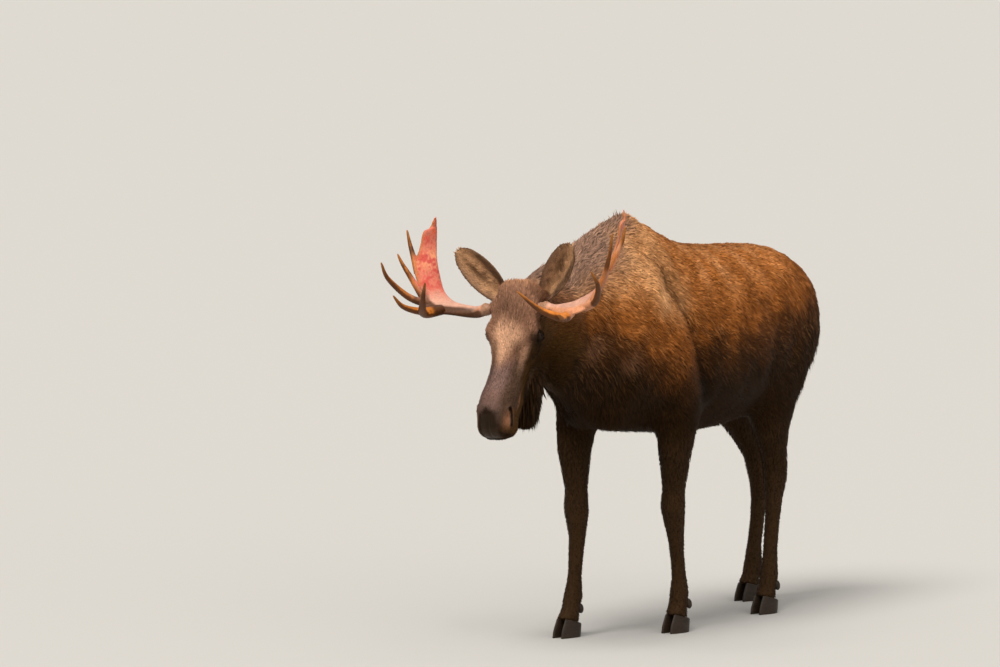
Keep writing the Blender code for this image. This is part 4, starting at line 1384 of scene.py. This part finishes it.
def tuftShape(cuts):  # a three-sided cone, cut across: sideways, up, share of the length
    bm = bmesh.new()
    bmesh.ops.create_cone(
        bm, cap_ends=True, cap_tris=False, segments=3, radius1=1.0, radius2=0.0, depth=1.0,
        matrix=Matrix.Translation((0, 0, 0.5)) @ Matrix.Rotation(math.radians(90), 4, "Z"),
    )
    for cut in cuts:
        everything = bm.verts[:] + bm.edges[:] + bm.faces[:]
        bmesh.ops.bisect_plane(bm, geom=everything, plane_co=(0, 0, cut), plane_no=(0, 0, 1))
    bmesh.ops.remove_doubles(bm, verts=bm.verts, dist=1e-4)
    bmesh.ops.triangulate(bm, faces=bm.faces)
    bm.verts.index_update()
    spots = np.array([v.co for v in bm.verts])
    tris = np.array([[v.index for v in f.verts] for f in bm.faces])
    bm.free()
    share = spots[:, 2]
    across = spots[:, :2] / np.maximum(np.linalg.norm(spots[:, :2], axis=1, keepdims=True), 1e-6)
    width = np.interp(share, (0.0, 0.35, 0.7, 1.0), (0.62, 1.0, 0.72, 0.0))
    return across * width[:, None], share, tris


def scatter(mesh, thick):  # even roots over the surface
    points, normals, tris = readPoints(mesh), readPoints(mesh, "normal"), triangles(mesh)
    a, b, c = (points[tris[:, k]] for k in range(3))
    wanted = np.linalg.norm(np.cross(b - a, c - a), axis=1) / 2 * thick
    number = np.floor(wanted + rng.random(len(wanted))).astype(int)
    which = np.repeat(np.arange(len(tris)), number)
    u, v = rng.random(len(which)), rng.random(len(which))
    over = u + v > 1
    u[over], v[over] = 1 - u[over], 1 - v[over]
    w = np.stack([1 - u - v, u, v], 1)[:, :, None]
    roots = (points[tris[which]] * w).sum(1)
    return roots, unit((normals[tris[which]] * w).sum(1))


def lying(k):  # rises off the skin, then lies down
    return 1.0 - (1.0 - k) ** 2.2 * (1.0 + 0.4 * k)


def growTufts(name, kind, t):
    make = tuftMake[kind]
    across, k, tris = tuftShape(make["cuts"])
    n, m = len(t["roots"]), len(k)
    up, lie = t["normals"], t["lie"]
    side = unit(np.cross(up, lie))
    length, height, width, sway, droop = (
        t[key][:, None] for key in ("length", "height", "width", "sway", "droop")
    )
    along = length * (k - 0.10 * k * k)
    rise = height * lying(k) - 0.0025 * (1 - k)
    spots = (
        t["roots"][:, None, :]
        + lie[:, None, :] * along[:, :, None]
        + up[:, None, :] * (rise + across[:, 1] * width * 0.42)[:, :, None]
        + side[:, None, :] * (sway * length * k * k + across[:, 0] * width)[:, :, None]
    )
    spots[:, :, 2] -= droop * length * k * k
    rooty = ((1 - k) ** 1.3)[:, None]
    colour = t["rootColour"][:, None, :] * rooty + t["tipColour"][:, None, :] * (1 - rooty)
    faces = (tris[None] + (np.arange(n) * m)[:, None, None]).reshape(-1, 3)

    mesh = bpy.data.meshes.new(name)
    mesh.vertices.add(n * m)
    mesh.loops.add(faces.size)
    mesh.loops.foreach_set("vertex_index", faces.astype(np.int32).ravel())
    mesh.polygons.add(len(faces))
    mesh.polygons.foreach_set("loop_start", np.arange(0, faces.size, 3, dtype=np.int32))
    mesh.vertices.foreach_set("co", spots.astype(np.float32).ravel())
    mesh.update(calc_edges=True)
    setTint(mesh, colour.reshape(-1, 3))
    patch = np.stack([across[:, 0] * 0.5 + 0.5, k], 1) * tuftPatch
    unwrap = (t["unwrap"] * (1 - 2 * tuftPatch))[:, None, :] + patch[None]
    uv = unwrap.reshape(-1, 2)[faces.ravel()]
    mesh.uv_layers.new(name="OFBake").data.foreach_set("uv", uv.astype(np.float32).ravel())
    smoothShade(mesh)
    own = readPoints(mesh, "normal")
    soft = own * (1 - make["soft"]) + np.repeat(up, m, axis=0) * make["soft"]
    mesh.normals_split_custom_set_from_vertices(unit(soft))
    mesh.materials.append(finishes["hair"])
    print(name, "tufts", n, "triangles", len(faces))
    return linked(name, mesh)


def dress(roots, normals, kind):
    make = tuftMake[kind]
    z = zones(roots)
    chance = rng.normal(size=(len(roots), 4))
    length = coatSize(roots, 0) * (1 + make["chance"] * np.clip(chance[:, 0], -1.5, 2.2))
    bellEnd = 0.940 + 0.10 * ramp(0.02, 0.13, np.abs(z["y"] + 0.76)) + 0.016 * np.abs(chance[:, 3])
    bellRoom = np.maximum(z["z"] - bellEnd, 0.006)
    length = between(length, np.minimum(length, bellRoom), z["bell"])
    lie = coatLie(roots, normals)
    lie = unit(lie + np.cross(normals, lie) * (0.10 * chance[:, 1])[:, None])
    height = coatSize(roots, 1) * (1.0 + 0.16 * chance[:, 2])
    base = coatColour(roots)
    streak = wobble(combed(roots) * (1.5, 1.9, 1.9), 1.0, 91)  # locks that share a tone
    tone = np.clip(1 + 0.17 * chance[:, 3] + 0.22 * streak, 0.4, 1.8)[:, None]
    top = ramp(1.0, 1.35, z["z"]) * (1 - z["head"]) * (1 - 0.6 * z["mane"])
    pale = blend(base * 0.98, hairColours["tan"], 0.14 * top * ramp(0.2, 1.2, streak))
    droop = np.clip(0.10 + 0.05 * chance[:, 0], 0, 0.3) * (1 - z["head"])
    return {
        "roots": roots,
        "normals": normals,
        "lie": lie,
        "length": np.maximum(length, 0.003),
        "height": np.maximum(height, 0.0012),
        "width": make["width"] * (1 + 0.2 * chance[:, 2]),
        "sway": 0.08 * chance[:, 1],
        "droop": droop + 0.1 * z["bell"],
        "rootColour": base * tone * (0.66 + 0.22 * z["head"])[:, None],
        "tipColour": pale * tone,
    }


def pick(t, mask):
    return {key: values[mask] for key, values in t.items()}


def square(values):  # fits values to 0 to 1
    low, high = values.min(), values.max()
    return (values - low) / max(high - low, 1e-6)


def unrolled(side, up, along):
    return np.stack([square(np.arctan2(side, up)), square(along)], 1)


def roundTrunk(roots):
    x, y, z = (roots - frameShift).T
    core = np.interp(y, (-0.7, -0.3, 0.2, 1.3), (1.40, 1.32, 1.28, 1.30))
    return unrolled(np.abs(x), z - core, y)


def roundHead(roots):
    h = toHead(roots)
    return unrolled(np.abs(h[:, 1]), h[:, 2] + 0.04, h[:, 0])


def roundLeg(roots):  # the two legs of a side next to each other
    p = roots - frameShift
    hind = p[:, 1] > 0.55
    spread = np.zeros((len(roots), 2))
    for mask, shift in ((~hind, 0.0), (hind, 0.5)):
        q = p[mask]
        bins = np.clip((q[:, 2] / 0.05).astype(int), 0, 20)
        count = np.maximum(np.bincount(bins, minlength=21), 1)
        x, y = (q[:, k] - (np.bincount(bins, q[:, k], 21) / count)[bins] for k in (0, 1))
        spread[mask] = unrolled(x, y, q[:, 2]) * (0.49, 1) + (shift, 0)
    return spread


def roundEnd(roots):
    x, y, z = (roots - frameShift).T
    return unrolled(x, y - y.mean(), z)


def halves(first, left, second="Right"):
    return [(first, left), (second, ~left)]


def bodySplits(roots):
    found = []
    for label, side in halves("Left", roots[:, 0] > frameShift[0]):
        y = roots[:, 1]
        edges = np.quantile(y[side], (0, 1 / 3, 2 / 3, 1))
        for k, part in enumerate(("Front", "Middle", "Back")):
            inside = (y >= edges[k]) & (y < edges[k + 1] + (k == 2))
            found.append((part + label, side & inside))
    return found


def offFace(roots):  # keeps clear of the eyes, nostrils, mouth, nose pad and antlers
    where, h = faceParts(roots)
    s, a, d = where["s"], where["a"], where["d"]
    keep = (eyeGap(roots) > 0.0045) & (nostrilGap(h) > nostril["width"] + 0.001)
    keep &= (mouthGap(h)[0] > 0.006) | (s < 0.52)
    keep &= ~((s > 0.625) & (a < 0.040) & (d > -0.02))
    for side in (1, -1):
        q = roots - headPoint(headShape["burr"][side], side)
        keep &= np.linalg.norm(q, axis=1) > 0.027
    return keep


def growCoat():
    pieces = []
    mesh = skin.data
    z = zones(readPoints(mesh)[triangles(mesh)].mean(1))
    isEnd = (z["tail"] > 0.5) | (z["bell"] > 0.5)
    isHead = (z["head"] > 0.5) & ~isEnd
    isLeg = (z["z"] < 0.80) & ~isHead & ~isEnd

    def grow(name, kind, mask, splits, unwrap):
        roots, upward = scatter(mesh, tuftMake[kind]["thick"] * mask.astype(float))
        if kind == "face":
            keep = offFace(roots)
            roots, upward = roots[keep], upward[keep]
        whole = dress(roots, upward, kind)
        for label, part in splits(roots):
            t = pick(whole, part)
            t["unwrap"] = unwrap(t["roots"])
            pieces.append(growTufts(name + label, kind, t))

    grow("coat", "body", ~isEnd & ~isHead & ~isLeg, bodySplits, roundTrunk)
    grow("coatFace", "face", isHead, lambda r: halves("Left", toHead(r)[:, 1] > 0), roundHead)
    grow("coatLegs", "legs", isLeg, lambda r: halves("Left", r[:, 0] > frameShift[0]), roundLeg)
    grow("coat", "tail", isEnd, lambda r: halves("Tail", r[:, 1] > 0, "Bell"), roundEnd)
    return pieces


def growEars():
    make = tuftMake["ears"]
    roots, upward = scatter(ears.data, make["thick"])
    n = len(roots)
    t = {"roots": roots, "normals": upward}
    t["lie"], colour, t["unwrap"] = np.zeros((n, 3)), np.zeros((n, 3)), np.zeros((n, 2))
    keep, deep = np.ones(n, bool), np.zeros(n)
    left = (roots - headOrigin) @ leftWay > 0
    for side, mask in ((1, left), (-1, ~left)):
        _, axis, across, opening = (np.array(v) for v in earFrame(side))
        share, x = earPaint(roots[mask], side)
        inside = ramp(-0.1, 0.3, upward[mask] @ opening)
        way = axis[None] + across[None] * (0.5 * np.clip(x, -1, 1) * (1 - share))[:, None]
        t["lie"][mask] = way + opening[None] * (0.25 * inside)[:, None]
        colour[mask] = earColour(roots[mask], upward[mask], side)
        quarter = (0.0 if side > 0 else 0.5) + 0.25 * (inside > 0.5)
        place = quarter + 0.24 * np.clip(x * 0.5 + 0.5, 0, 1), np.clip(share, 0, 1)
        t["unwrap"][mask] = np.stack(place, 1)
        keep[mask] = share > 0.08
        deep[mask] = inside * (1 - ramp(0.75, 1.0, np.abs(x)))
    lie = t["lie"] - upward * (t["lie"] * upward).sum(1, keepdims=True)
    chance = rng.normal(size=(n, 3))
    tone = np.clip(1 + 0.14 * chance[:, 1], 0.5, 1.6)[:, None]
    t["lie"] = unit(unit(lie) + np.cross(upward, unit(lie)) * (0.2 * chance[:, :1]))
    t["length"] = (0.008 + 0.010 * deep) * (1 + make["chance"] * chance[:, 0])
    t["height"] = 0.0016 + 0.0022 * deep
    t["width"] = make["width"] * (1 + 0.2 * chance[:, 2])
    t["sway"] = 0.12 * chance[:, 1]
    t["droop"] = np.full(n, 0.03)
    t["rootColour"], t["tipColour"] = colour * 0.75 * tone, colour * 1.08 * tone
    return growTufts("coatEars", "ears", pick(t, keep))


coats = growCoat() + [growEars()]
print("coat grown")

# joining, naming and riding

skin.data.materials.append(finishes["skin"])
ears.data.materials.append(finishes["skin"])
with bpy.context.temp_override(
    active_object=skin, selected_objects=[skin, ears], selected_editable_objects=[skin, ears]
):
    bpy.ops.object.join()
for side in ("left", "right"):
    eyes[side].data.materials.append(finishes["eye"])
    antlers[side].data.materials.append(finishes["antler"])
    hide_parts(f"eye_{side}")
    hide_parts(*(f"antler_{side}_{part}" for part in ("beam", "brow", "palm")))
for obj in (hooves, dewclaws):
    obj.data.materials.append(finishes["horn"])
claws = [f"{foot}_{end}" for foot in hoofMake["feet"] for end in ("outer", "inner")]
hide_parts(*(f"hoof_{claw}" for claw in claws))
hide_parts(*(f"dewclaw_{claw}" for claw in claws))
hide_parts(*skinMake["flesh"], "ear_left", "ear_right")
for obj in [skin, *eyes.values(), *antlers.values(), hooves, dewclaws, *coats]:
    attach(obj, "root")
